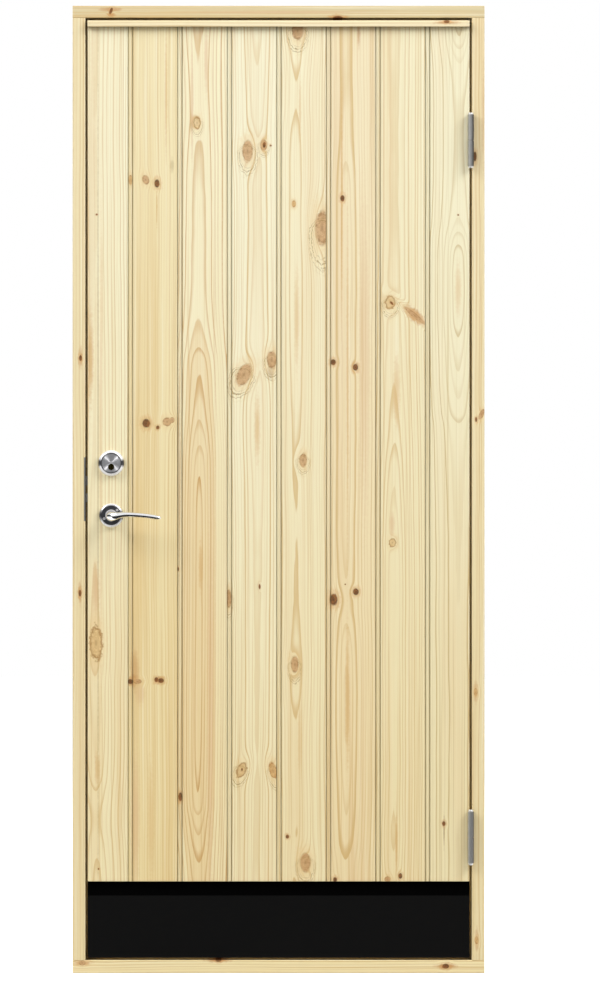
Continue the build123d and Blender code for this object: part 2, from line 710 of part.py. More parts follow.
lock_stile = block(LEAF_LEFT, LEAF_LEFT + STILE_WIDTH, BOARD_BACK, CORE_BACK, BOTTOM_RAIL_TOP, TOP_RAIL_FOOT)
parts["lock_stile"] = lock_stile - lock_body() - spindle_bore - cylinder_bore

hinge_stile = block(LEAF_RIGHT - STILE_WIDTH, LEAF_RIGHT, BOARD_BACK, CORE_BACK, BOTTOM_RAIL_TOP, TOP_RAIL_FOOT)
for mortise in leaf_mortises:
    hinge_stile -= mortise
parts["hinge_stile"] = hinge_stile

back_panel = block(LEAF_LEFT, LEAF_RIGHT, CORE_BACK, LEAF_BACK, LEAF_BOTTOM, LEAF_TOP)
parts["back_panel"] = back_panel - spindle_bore - cylinder_bore

spindle_end = SOCKET_DEPTH - SPINDLE_CLEARANCE
half_side = SPINDLE_SIDE / 2
parts["lever_spindle"] = block(
    LOCK_X - half_side,
    LOCK_X + half_side,
    FRONT - spindle_end,
    LEAF_BACK + spindle_end,
    LEVER_HEIGHT - half_side,
    LEVER_HEIGHT + half_side,
)

for place, middle in HINGE_HEIGHTS.items():
    parts[f"{place}_hinge_leaf_half"] = hinge_half(-1, middle)
    parts[f"{place}_hinge_frame_half"] = hinge_half(1, middle)
    parts[f"{place}_hinge_head_cap"] = hinge_cap(-1, middle)
    parts[f"{place}_hinge_foot_cap"] = hinge_cap(1, middle)

os.makedirs("parts", exist_ok=True)
for name, part in parts.items():
    export_step(part, f"parts/{name}.step")
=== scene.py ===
"""The shed door's scene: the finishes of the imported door, its screws and a plain studio."""

import logging
import math
from dataclasses import dataclass, replace
from enum import Enum
from typing import Iterable, Iterator, Sequence

import bmesh
import bpy
from mathutils import Matrix, Vector


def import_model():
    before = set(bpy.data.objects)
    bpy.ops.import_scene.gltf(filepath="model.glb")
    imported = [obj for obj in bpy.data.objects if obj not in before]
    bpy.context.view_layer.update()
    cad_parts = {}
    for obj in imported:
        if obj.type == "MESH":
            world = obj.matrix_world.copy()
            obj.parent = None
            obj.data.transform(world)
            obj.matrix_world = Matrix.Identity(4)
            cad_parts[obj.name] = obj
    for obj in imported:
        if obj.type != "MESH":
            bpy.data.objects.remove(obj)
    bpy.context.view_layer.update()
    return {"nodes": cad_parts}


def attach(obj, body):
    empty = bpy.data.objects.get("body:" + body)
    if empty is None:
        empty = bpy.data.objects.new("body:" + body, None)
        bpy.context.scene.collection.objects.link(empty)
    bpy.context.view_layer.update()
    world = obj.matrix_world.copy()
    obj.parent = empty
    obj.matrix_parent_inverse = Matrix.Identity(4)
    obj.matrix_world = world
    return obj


LOG = logging.getLogger("shed_door")

Socket = bpy.types.NodeSocket
Colour = tuple[float, float, float]
Feed = float | Sequence[float] | Socket
Fields = Sequence[dict[str, Socket]]
Nodes = dict[str, bpy.types.Object]

# The leaf's outer face and middle, and the foot of the drip strip, in the door's metres.
FACE = -0.046
LEAF_MIDDLE = -0.0215
STRIP_FOOT = 2.045

# The longest way along the grain and the greatest depth that a pith's curve covers.
GRAIN_REACH = 2.1
PITH_REACH = 0.12

# Where the wood darkens: towards the bottom of the door; with painted shade beside a seam and in a groove
# under the face; and with painted shadow below the strip.
LOW_DARKENING_HEIGHTS = (1.95, 0.2)
BEAD_SHOULDER = (0.0095, 0.005)
GROOVE_LIP = (0.0003, 0.0020)
GROOVE_FLOOR = (0.006, 0.0045)
# The band and strength of the painted shadow on the boards below the drip strip.
STRIP_SHADOW_BAND = (STRIP_FOOT - 0.012, STRIP_FOOT + 0.001)
STRIP_SHADOW_STRENGTH = 0.85


def paint(red: int, green: int, blue: int) -> Colour:
    """Turns a colour as a screen shows it into the linear values that shaders take.

    Args:
        red: Red from 0 to 255.
        green: Green from 0 to 255.
        blue: Blue from 0 to 255.

    Returns:
        The three linear values.
    """
    values = []
    for level in (red, green, blue):
        part = level / 255
        values.append(part / 12.92 if part <= 0.04045 else ((part + 0.055) / 1.055) ** 2.4)
    return values[0], values[1], values[2]


class Graph:
    """A node tree, with a short call for each kind of node that the finishes use."""

    def __init__(self, tree: bpy.types.NodeTree) -> None:
        """Takes the tree that the calls add to."""
        self.tree = tree

    def node(self, kind: str, **settings: object) -> bpy.types.Node:
        """Adds a node.

        Args:
            kind: The shader node's type without its prefix.
            settings: Properties that the node gets.

        Returns:
            The new node.
        """
        node = self.tree.nodes.new("ShaderNode" + kind)
        for name, value in settings.items():
            setattr(node, name, value)
        return node

    def feed(self, socket: Socket, value: Feed) -> None:
        """Links another socket into this one, or sets a plain value or colour on it.

        Args:
            socket: The input that takes the value.
            value: A socket, a number, a vector or a colour.
        """
        if isinstance(value, bpy.types.NodeSocket):
            self.tree.links.new(value, socket)
        elif isinstance(value, (int, float)):
            socket.default_value = value
        elif socket.type == "RGBA":
            socket.default_value = (*value, 1.0)
        else:
            socket.default_value = value

    def filled(self, node: bpy.types.Node, values: Iterable[Feed]) -> Socket:
        """Feeds a node's inputs in order and gives its first output.

        Args:
            node: The node to feed.
            values: What each input takes.

        Returns:
            The node's first output.
        """
        for socket, value in zip(node.inputs, values):
            self.feed(socket, value)
        return node.outputs[0]

    def math(self, operation: str, *values: Feed) -> Socket:
        """Gives the result of a Math node on these values."""
        return self.filled(self.node("Math", operation=operation), values)

    def times(self, value: Feed, factor: Feed) -> Socket:
        """Multiplies two values."""
        return self.math("MULTIPLY", value, factor)

    def minus(self, value: Feed, less: Feed) -> Socket:
        """Subtracts one value from another."""
        return self.math("SUBTRACT", value, less)

    def over(self, value: Feed, divisor: Feed) -> Socket:
        """Divides one value by another."""
        return self.math("DIVIDE", value, divisor)

    def sloped(self, value: Feed, slope: Feed, start: Feed) -> Socket:
        """Multiplies a value by a slope and adds a start."""
        return self.math("MULTIPLY_ADD", value, slope, start)

    def squares(self, first: Socket, second: Socket) -> Socket:
        """Adds the squares of two values."""
        return self.math("ADD", self.times(first, first), self.times(second, second))

    def total(self, values: Sequence[Socket], operation: str = "ADD") -> Socket:
        """Joins several values by one operation.

        Args:
            values: The values to join, at least one.
            operation: The Math node's operation.

        Returns:
            The joined value.
        """
        result = values[0]
        for value in values[1:]:
            result = self.math(operation, result, value)
        return result

    def mix(self, share: Feed, under: Feed, over: Feed, blend: str = "MIX") -> Socket:
        """Lays one colour over another.

        Args:
            share: How much of the upper colour shows.
            under: The lower colour.
            over: The upper colour.
            blend: The way the two are mixed.

        Returns:
            The mixed colour.
        """
        node = self.node("Mix", data_type="RGBA", blend_type=blend)
        self.feed(node.inputs[0], share)
        self.feed(node.inputs[6], under)
        self.feed(node.inputs[7], over)
        return node.outputs[2]

    def ease(self, value: Feed, low: float, high: float, start: float = 0.0, end: float = 1.0) -> Socket:
        """Carries a value smoothly from one level to another.

        Args:
            value: The value that is read.
            low: Where the change starts.
            high: Where the change ends.
            start: The level before it.
            end: The level after it.

        Returns:
            The eased level.
        """
        node = self.node("MapRange", interpolation_type="SMOOTHSTEP")
        return self.filled(node, (value, low, high, start, end))

    def band(self, value: Feed, rise: Sequence[float], fall: Sequence[float]) -> Socket:
        """Gives 1 where a value lies between a rise and a fall, and 0 beyond them."""
        return self.times(self.ease(value, *rise), self.ease(value, *fall))

    def noise(self, place: Feed, scale: float = 1.0, detail: float = 2.0) -> Socket:
        """Gives a soft noise of 0 to 1 at a place.

        Args:
            place: The place that is read.
            scale: How many lumps there are in a unit.
            detail: How many finer layers it has.

        Returns:
            The noise.
        """
        node = self.node("TexNoise")
        self.feed(node.inputs["Vector"], place)
        self.feed(node.inputs["Scale"], scale)
        self.feed(node.inputs["Detail"], detail)
        return node.outputs[0]

    def wander(self, along: Feed, pace: float, seed: float) -> Socket:
        """Gives a noise of -1 to 1 along one direction.

        Args:
            along: The distance along it.
            pace: How many swings there are in a unit.
            seed: What sets one such line apart from the next.

        Returns:
            The noise.
        """
        node = self.node("TexNoise", noise_dimensions="1D")
        self.feed(node.inputs["W"], self.sloped(along, pace, seed))
        self.feed(node.inputs["Scale"], 1.0)
        return self.math("MULTIPLY_ADD", node.outputs[0], 2.0, -1.0)

    def curve(
        self, along: Socket, points: Sequence[tuple[float, float]], reach: float, height: float
    ) -> Socket:
        """Reads a smooth curve through a few points.

        Args:
            along: Where the curve is read.
            points: The curve's points, from 0 to the reach and from 0 to the height.
            reach: The longest distance along it.
            height: The highest value.

        Returns:
            The curve's value there.
        """
        node = self.node("FloatCurve")
        line = node.mapping.curves[0].points
        while len(line) < len(points):
            line.new(0.0, 0.0)
        for spot, (x, y) in zip(line, points):
            spot.location = (x / reach, y / height)
        node.mapping.update()
        self.feed(node.inputs["Value"], self.over(along, reach))
        return self.math("MULTIPLY", node.outputs[0], height)

    def object_place(self) -> Socket:
        """Gives the place in the door's own metres, which stays with a piece as it moves."""
        return self.node("TexCoord").outputs["Object"]

    def split(self, place: Socket) -> tuple[Socket, Socket, Socket]:
        """Gives the three parts of a place.

        Args:
            place: The place.

        Returns:
            Its x, y and z.
        """
        node = self.node("SeparateXYZ")
        self.feed(node.inputs[0], place)
        return node.outputs[0], node.outputs[1], node.outputs[2]

    def join(self, x: Feed, y: Feed, z: Feed) -> Socket:
        """Gives a place from its three parts."""
        return self.filled(self.node("CombineXYZ"), (x, y, z))

    def scaled(self, place: Socket, factors: Sequence[float], shift: Sequence[float] = (0, 0, 0)) -> Socket:
        """Stretches a place by a factor for each axis, and shifts it."""
        return self.filled(self.node("VectorMath", operation="MULTIPLY_ADD"), (place, factors, shift))

    def radius(self, x: Socket, z: Socket, middle: tuple[float, float]) -> Socket:
        """Gives the distance in the door's plane from a middle, given as x and z."""
        return self.math("SQRT", self.squares(self.minus(x, middle[0]), self.minus(z, middle[1])))

    def outward(self, place: Socket, middle: tuple[float, float]) -> Socket:
        """Gives the way out from an axis through the door, in the world's directions.

        Args:
            place: The place in the door.
            middle: The axis's x and z.

        Returns:
            The way out.
        """
        away = self.scaled(place, (1, 0, 1), (-middle[0], 0, -middle[1]))
        turn = self.node("VectorTransform", vector_type="VECTOR", convert_from="OBJECT", convert_to="WORLD")
        return self.filled(turn, (away,))

    def bump(self, height: Feed, depth: float, strength: float = 1.0) -> Socket:
        """Turns a height of 0 to 1 into a normal.

        Args:
            height: The height.
            depth: What a height of 1 stands for, in metres.
            strength: How much of it shows.

        Returns:
            The normal.
        """
        node = self.node("Bump")
        self.feed(node.inputs["Strength"], strength)
        self.feed(node.inputs["Distance"], depth)
        self.feed(node.inputs["Height"], height)
        return node.outputs["Normal"]


class Surface(Graph):
    """A material with one shader, whose inputs are set by name."""

    def __init__(self, name: str) -> None:
        """Makes the material.

        Args:
            name: The material's name.
        """
        self.material = bpy.data.materials.new(name)
        self.material.use_nodes = True
        super().__init__(self.material.node_tree)
        self.shader = self.tree.nodes["Principled BSDF"]

    def set(self, **inputs: Feed) -> None:
        """Feeds the shader's inputs; an underscore in a name stands for a space."""
        for name, value in inputs.items():
            self.feed(self.shader.inputs[name.replace("_", " ")], value)


class Grain(Enum):
    """The way the fibres of a piece of wood run."""

    UPRIGHT = "upright"
    CROSSWISE = "crosswise"


class KnotKind(Enum):
    """How a knot looks."""

    SOUND = "sound"
    DARK = "dark"
    PALE = "pale"
    HOLLOW = "hollow"


@dataclass(frozen=True)
class Knot:
    """A knot on the face, in the door's metres, with the bend of the grain and the lines around it."""

    x: float
    z: float
    half_width: float
    half_height: float
    kind: KnotKind = KnotKind.SOUND
    tilt: float = 0.0
    push: float = 0.9
    lift: float = 0.004
    collar: float = 0.0


@dataclass(frozen=True)
class Streak:
    """A long stain in the wood, placed in the door's metres."""

    x: float
    z: float
    half_width: float
    half_height: float
    tint: Colour
    strength: float = 0.5
    tilt: float = 0.0


@dataclass(frozen=True)
class Pith:
    """Where the middle of the log lies across the grain, and its depth behind the face along it."""

    across: float
    depths: tuple[tuple[float, float], ...] = ((0.0, 0.03), (2.1, 0.03))


@dataclass(frozen=True)
class KnotLook:
    """The colours of one kind of knot, its glow, how well it covers the wood and how whole its rim is."""

    body: Colour
    patch: Colour
    edge: Colour
    halo: Colour
    glow: float
    cover: float
    rim: float = 0.1


KNOT_LOOKS = {
    KnotKind.HOLLOW: KnotLook(
        paint(230, 200, 148), paint(220, 186, 130), paint(172, 128, 72), paint(236, 208, 154), 0.3, 0.7, 0.7
    ),
    KnotKind.PALE: KnotLook(
        paint(222, 182, 124), paint(208, 160, 100), paint(180, 128, 70), paint(236, 206, 150), 0.4, 0.8
    ),
    KnotKind.SOUND: KnotLook(
        paint(214, 176, 132), paint(198, 156, 110), paint(166, 122, 76), paint(236, 208, 156), 0.45, 0.88
    ),
    KnotKind.DARK: KnotLook(
        paint(146, 90, 46), paint(110, 66, 34), paint(64, 40, 22), paint(216, 164, 100), 0.5, 0.92
    ),
}

DARK = KnotKind.DARK
PALE = KnotKind.PALE
HOLLOW = KnotKind.HOLLOW

CREAM = paint(252, 245, 219)
OLIVE = paint(170, 140, 84)
# The colour of the painted shade in the grooves.
GROOVE_SHADE_TINT = paint(134, 118, 84)
AMBER = paint(214, 168, 98)
TAN = paint(224, 190, 138)
ROSE = paint(222, 184, 144)
UMBER = paint(150, 104, 58)
FLAME = paint(190, 122, 52)
SAPWOOD = paint(246, 235, 197)
WHITE = (1.0, 1.0, 1.0)

# Factors that darken the wood under them: towards the bottom, as painted shadow below the drip strip, and as
# painted shade on the bead.
LOW_DARKENING = (0.95, 0.89, 0.76)
STRIP_SHADOW = (0.30, 0.28, 0.25)
BEAD_SHADE = (0.935, 0.93, 0.91)


class KnotGroup:
    """The node group that gives the distance from a knot and the bend of the grain around it."""

    NAME = "knot_field"
    INPUTS = (
        "Across", "Along", "Ragged", "X", "Z", "Width", "Height", "Cosine", "Sine", "Push", "Lift",
        "Collar",
    )
    OUTPUTS = ("Near", "Push", "Lift", "Collar")

    @classmethod
    def tree(cls) -> bpy.types.NodeTree:
        """Gives the group, which is made at the first call."""
        return bpy.data.node_groups.get(cls.NAME) or cls._make()

    @classmethod
    def _make(cls) -> bpy.types.NodeTree:
        """Makes the group.

        Returns:
            The group's tree.
        """
        tree = bpy.data.node_groups.new(cls.NAME, "ShaderNodeTree")
        for name in cls.INPUTS:
            tree.interface.new_socket(name, in_out="INPUT", socket_type="NodeSocketFloat")
        for name in cls.OUTPUTS:
            tree.interface.new_socket(name, in_out="OUTPUT", socket_type="NodeSocketFloat")
        graph = Graph(tree)
        given = tree.nodes.new("NodeGroupInput").outputs
        side = graph.minus(given["Across"], given["X"])
        rise = graph.minus(given["Along"], given["Z"])
        turned_side = graph.sloped(side, given["Cosine"], graph.times(rise, given["Sine"]))
        back = graph.times(side, given["Sine"])
        turned_rise = graph.minus(graph.times(rise, given["Cosine"]), back)
        a = graph.over(turned_side, given["Width"])
        b = graph.over(turned_rise, given["Height"])
        squares = graph.squares(a, b)
        near = graph.times(graph.math("SQRT", squares), graph.sloped(given["Ragged"], 0.7, 0.65))
        fade = graph.math("EXPONENT", graph.times(squares, -0.3))
        push = graph.times(graph.times(side, given["Push"]), graph.times(fade, -1.0))
        lift = graph.times(given["Lift"], fade)
        hung = graph.math("SQRT", graph.squares(a, graph.sloped(given["Collar"], 0.6, b)))
        smooth = graph.sloped(given["Ragged"], 0.3, 0.85)
        above = graph.times(graph.math("MAXIMUM", b, 0.0), 1.4)
        collar = graph.sloped(hung, smooth, above)
        taken = tree.nodes.new("NodeGroupOutput").inputs
        for name, value in zip(cls.OUTPUTS, (near, push, lift, collar)):
            tree.links.new(value, taken[name])
        return tree


class PineSurface(Surface):
    """The material of a piece of pine, with the places that its nodes read."""

    def __init__(self, name: str, grain: Grain, seed: float) -> None:
        """Makes the material.

        Args:
            name: The material's name.
            grain: The way its fibres run.
            seed: What sets one piece of pine apart from the next.
        """
        super().__init__(name)
        self.upright = grain is Grain.UPRIGHT
        self.place = self.object_place()
        self.x, self.y, self.z = self.split(self.place)
        self.across, self.along = self.turned(self.x, self.z)
        self.ragged = self.noise(self.scaled(self.place, (1, 1, 1), (seed, 0, seed)), scale=160.0, detail=1.0)

    def turned(self, x: Feed, z: Feed) -> tuple[Feed, Feed]:
        """Gives what lies across the grain and what lies along it."""
        return (x, z) if self.upright else (z, x)

    def drawn_out(self, fine: float, long: float, shift: Sequence[float]) -> Socket:
        """Gives a noise that is drawn out along the grain.

        Args:
            fine: How many lumps there are in a metre across the grain.
            long: How many there are in a metre along it.
            shift: What sets one such noise apart from the next.

        Returns:
            The noise.
        """
        across, along = self.turned(fine, long)
        return self.noise(self.scaled(self.place, (across, fine, along), shift), detail=3.0)

    def field(self, spot: Knot | Streak) -> dict[str, Socket]:
        """Adds the distance field of a knot or a stain.

        Args:
            spot: The knot or stain.

        Returns:
            The group's outputs by name.
        """
        node = self.node("Group", node_tree=KnotGroup.tree())
        middle = self.turned(spot.x, spot.z)
        size = self.turned(spot.half_width, spot.half_height)
        angle = math.radians(spot.tilt)
        bend = (spot.push, spot.lift, spot.collar) if isinstance(spot, Knot) else (0.0, 0.0, 0.0)
        turn = (math.cos(angle), math.sin(angle))
        self.filled(node, (self.across, self.along, self.ragged, *middle, *size, *turn, *bend))
        return {name: node.outputs[name] for name in KnotGroup.OUTPUTS}


@dataclass(frozen=True)
class PineFinish:
    """Untreated pine: rings around a pith, latewood lines, fibres, stains and knots."""

    name: str
    pith: Pith
    grain: Grain = Grain.UPRIGHT
    tone: Colour = paint(244, 231, 193)
    line: Colour = paint(219, 188, 132)
    heart: Colour = paint(233, 203, 155)
    heart_radius: float = 0.0
    heart_strength: float = 0.7
    spacing: float = 0.006
    contrast: float = 0.75
    stripe: float = 0.6
    banding: float = 0.35
    # The strength of the painted shade in the grooves, which also turns on the bead's painted shade and the
    # painted shadow under the strip.
    groove_shading: float = 0.0
    # How much darker and yellower the wood grows towards the bottom.
    low_darkening: float = 0.5
    bead: float | None = None
    seed: float = 0.0
    knots: tuple[Knot, ...] = ()
    streaks: tuple[Streak, ...] = ()

    def material(self) -> bpy.types.Material:
        """Builds the pine's material.

        Returns:
            The material.
        """
        wood = PineSurface(self.name, self.grain, self.seed)
        fields = [wood.field(knot) for knot in self.knots]
        rings, side = self._rings(wood, fields)
        fibres = wood.drawn_out(fine=620, long=9, shift=(self.seed, 0, 0))
        narrow = wood.join(wood.times(side, 250.0), wood.y, wood.times(wood.along, 1.2))
        colour, latewood = self._wood_colour(wood, rings, fibres, wood.noise(narrow, detail=3.0))
        for streak in self.streaks:
            near = wood.field(streak)["Near"]
            colour = wood.mix(wood.ease(near, 1.1, 0.2, end=streak.strength), colour, streak.tint)
        colour = self._knot_colours(wood, colour, fields)
        colour = self._collars(wood, colour, fields)
        # Darker and yellower towards the bottom of the door.
        colour = wood.mix(wood.ease(wood.z, *LOW_DARKENING_HEIGHTS, end=self.low_darkening), colour, LOW_DARKENING, "MULTIPLY")
        colour = self._painted_shade(wood, colour)
        rough = wood.sloped(latewood, -0.12, wood.sloped(fibres, 0.12, 0.58))
        wood.set(Base_Color=colour, Roughness=rough, Specular_IOR_Level=0.25, IOR=1.45)
        wood.set(Normal=wood.bump(fibres, depth=0.00012, strength=0.6))
        return wood.material

    def _rings(self, wood: PineSurface, fields: Fields) -> tuple[Socket, Socket]:
        """Gives the distance from the pith.

        Args:
            wood: The material.
            fields: The knots' fields, which bend the rings.

        Returns:
            The count of rings out from the pith, and the bent distance to its side.
        """
        sway = wood.times(wood.wander(wood.along, pace=1.7, seed=self.seed + 11.0), 0.004)
        side = wood.minus(wood.across, self.pith.across)
        side = wood.total([side, sway, *(field["Push"] for field in fields)])
        depth = wood.curve(wood.along, self.pith.depths, GRAIN_REACH, PITH_REACH)
        inward = wood.minus(wood.minus(wood.y, FACE), depth)
        squares = wood.sloped(side, side, wood.times(inward, inward))
        radius = wood.total([wood.math("SQRT", squares), *(field["Lift"] for field in fields)])
        wobble = wood.noise(wood.join(wood.times(wood.across, 45.0), self.seed, wood.times(wood.along, 9.0)))
        return wood.over(wood.sloped(wobble, 0.0022, radius), self.spacing), side

    def _wood_colour(
        self, wood: PineSurface, rings: Socket, fibres: Socket, stripes: Socket
    ) -> tuple[Socket, Socket]:
        """Colours the clear wood.

        Args:
            wood: The material.
            rings: The count of rings.
            fibres: The fine fibres.
            stripes: The narrow stripes along the grain.

        Returns:
            The colour and the share of latewood.
        """
        count = wood.sloped(wood.wander(rings, pace=0.45, seed=self.seed + 5.0), 0.4, rings)
        step = wood.math("FRACT", count)
        late = wood.band(step, (0.52, 0.93), (1.0, 0.95))
        chance = wood.wander(wood.math("FLOOR", count), pace=0.73, seed=self.seed)
        weight = wood.ease(chance, -0.3, 0.45, start=0.25, end=1.3)
        late = wood.times(late, weight)
        bands = wood.drawn_out(fine=26, long=0.8, shift=(self.seed, 3.0, self.seed))
        colour = wood.mix(wood.times(wood.ease(bands, 0.42, 0.72), self.banding), self.tone, self.heart)
        if self.heart_radius > 0.0:
            limit = self.heart_radius / self.spacing
            inside = wood.ease(rings, limit, limit - 0.25)
            colour = wood.mix(wood.times(inside, self.heart_strength), colour, self.heart)
        colour = wood.mix(wood.ease(stripes, 0.47, 0.28, end=self.stripe), colour, CREAM)
        colour = wood.mix(wood.ease(stripes, 0.52, 0.74, end=self.stripe), colour, self.line)
        colour = wood.mix(wood.times(late, self.contrast), colour, self.line)
        colour = wood.mix(wood.ease(fibres, 0.62, 0.8, end=0.16), colour, self.line)
        return wood.mix(wood.ease(fibres, 0.42, 0.28, end=0.2), colour, CREAM), late

    def _knot_colours(self, wood: PineSurface, colour: Socket, fields: Fields) -> Socket:
        """Colours the knots and the wood close around them.

        Args:
            wood: The material.
            colour: The wood's colour.
            fields: The knots' fields.

        Returns:
            The colour.
        """
        for kind, look in KNOT_LOOKS.items():
            nears = [field["Near"] for knot, field in zip(self.knots, fields) if knot.kind is kind]
            if not nears:
                continue
            near = wood.total(nears, "MINIMUM")
            colour = wood.mix(wood.ease(near, 2.6, 0.8, end=look.glow), colour, look.halo)
            turns = wood.math("FRACT", wood.sloped(near, 4.3, wood.ragged))
            inner = wood.mix(wood.ease(wood.ragged, 0.35, 0.7), look.body, look.patch)
            inner = wood.mix(wood.ease(turns, 0.35, 0.95, end=0.4), inner, look.edge)
            inner = wood.mix(wood.ease(near, 0.34, 0.05, end=0.7), inner, look.edge)
            colour = wood.mix(wood.ease(near, 1.12, 0.78, end=look.cover), colour, inner)
            rim = wood.band(near, (0.74, 0.96), (1.22, 1.0))
            rim = wood.times(rim, wood.ease(wood.ragged, 0.42, 0.62, start=look.rim, end=0.8))
            colour = wood.mix(rim, colour, look.edge)
        return colour

    def _collars(self, wood: PineSurface, colour: Socket, fields: Fields) -> Socket:
        """Draws the thin lines that hang around the larger knots.

        Args:
            wood: The material.
            colour: The wood's colour.
            fields: The knots' fields.

        Returns:
            The colour.
        """
        rounds = [field["Collar"] for knot, field in zip(self.knots, fields) if knot.collar]
        if not rounds:
            return colour
        near = wood.total(rounds, "MINIMUM")
        step = wood.math("FRACT", wood.times(near, 2.9))
        lines = wood.band(step, (0.45, 0.8), (1.0, 0.86))
        reach = wood.band(near, (1.25, 1.4), (2.5, 1.7))
        broken = wood.times(reach, wood.ease(wood.ragged, 0.3, 0.6, start=0.3, end=0.8))
        return wood.mix(wood.times(lines, broken), colour, OLIVE)

    def _painted_shade(self, wood: PineSurface, colour: Socket) -> Socket:
        """Paints shade into the wood in the grooves and on the bead's outer side, and paints a shadow below
        the drip strip.

        Args:
            wood: The material.
            colour: The wood's colour.

        Returns:
            The colour.
        """
        if self.groove_shading <= 0.0:
            return colour
        if self.bead is not None:
            # Painted shade on the bead's outer side beside the seam.
            shoulder = [self.bead + edge for edge in BEAD_SHOULDER]
            colour = wood.mix(wood.ease(wood.x, *shoulder), colour, BEAD_SHADE, "MULTIPLY")
        # Painted shade in the grooves, where the wood lies below the face.
        sunk = wood.minus(wood.y, FACE)
        groove_shadow = wood.times(wood.ease(sunk, *GROOVE_LIP, end=self.groove_shading), wood.ease(sunk, *GROOVE_FLOOR))
        colour = wood.mix(groove_shadow, colour, GROOVE_SHADE_TINT)
        # Painted shadow on the boards just below the drip strip.
        return wood.mix(wood.ease(wood.z, *STRIP_SHADOW_BAND, end=STRIP_SHADOW_STRENGTH), colour, STRIP_SHADOW, "MULTIPLY")


class Turning(Enum):
    """How the fine marks of working run on a metal."""

    NONE = "none"
    DRAWN = "drawn"
    TURNED = "turned"


@dataclass(frozen=True)
class MetalFinish:
    """Bare or plated metal with fine working marks and faint smears, and where asked a painted shade across
    it and painted highlight spokes.
    """

    name: str
    colour: Colour = paint(214, 215, 216)
    roughness: float = 0.16
    smear: float = 0.08
    marks: Turning = Turning.NONE
    middle: tuple[float, float] = (0.0, 0.0)
    mark_depth: float = 0.00004
    anisotropy: float = 0.0
    satin_within: float = 0.0
    satin: Colour = paint(186, 184, 185)
    satin_edge: float = 0.001
    spoke_highlight: float = 0.0
    spoke_highlight_width: tuple[float, float] = (0.468, 0.499)
    spoke_highlight_colour: Colour = paint(252, 252, 253)
    shaded: tuple[float, float] | None = None
    shade: float = 0.3
    tarnish: float = 0.86

    def material(self) -> bpy.types.Material:
        """Builds the metal's material.

        Returns:
            The material.
        """
        metal = Surface(self.name)
        place = metal.object_place()
        x, y, z = metal.split(place)
        cloud = metal.noise(place, scale=60.0, detail=3.0)
        if self.marks is Turning.TURNED:
            grooves = metal.wander(metal.radius(x, z, self.middle), pace=2600.0, seed=0.0)
            height = metal.sloped(grooves, 0.5, 0.5)
        elif self.marks is Turning.DRAWN:
            height = metal.noise(metal.scaled(place, (1400, 1400, 30)))
        else:
            height = metal.noise(place, scale=900.0)
        dim = tuple(self.tarnish * part for part in self.colour)
        colour = metal.mix(metal.times(metal.ease(cloud, 0.35, 0.75), 0.6), self.colour, dim)
        # Painted shade: the metal darkens across x, standing in for the unlit side of a hinge barrel.
        if self.shaded is not None:
            shadow = tuple(self.shade * part for part in self.colour)
            colour = metal.mix(metal.ease(x, *self.shaded), colour, shadow)
        # Painted highlights: four bright slanting spokes on a turned face.
        if self.spoke_highlight > 0.0:
            colour = metal.mix(self._spoke_highlights(metal, x, z), colour, self.spoke_highlight_colour)
        rough = metal.sloped(cloud, self.smear, self.roughness - 0.5 * self.smear)
        rough = metal.sloped(height, self.smear, rough)
        metal.set(Base_Color=colour, Roughness=rough, Metallic=1.0, Anisotropic=self.anisotropy)
        if self.satin_within > 0.0:
            away = metal.math("ABSOLUTE", metal.minus(y, LEAF_MIDDLE))
            low, high = self.satin_within - self.satin_edge, self.satin_within + self.satin_edge
            bright = metal.ease(away, low, high)
            metal.set(Metallic=bright, Base_Color=metal.mix(bright, self.satin, colour))
        metal.set(Normal=metal.bump(height, self.mark_depth, strength=0.5))
        if self.anisotropy > 0.0:
            metal.set(Tangent=metal.outward(place, self.middle))
        return metal.material

    def _spoke_highlights(self, metal: Surface, x: Socket, z: Socket) -> Socket:
        """Gives the four slanting spokes of painted highlight in which a turned face shines.

        Args:
            metal: The material.
            x: The place across the door.
            z: The height.

        Returns:
            The painted highlights' strength.
        """
        sides = [metal.minus(value, middle) for value, middle in zip((x, z), self.middle)]
        area = metal.math("ABSOLUTE", metal.total(sides, "MULTIPLY"))
        squares = metal.total([metal.times(side, side) for side in sides])
        return metal.ease(metal.over(area, squares), *self.spoke_highlight_width, end=self.spoke_highlight)


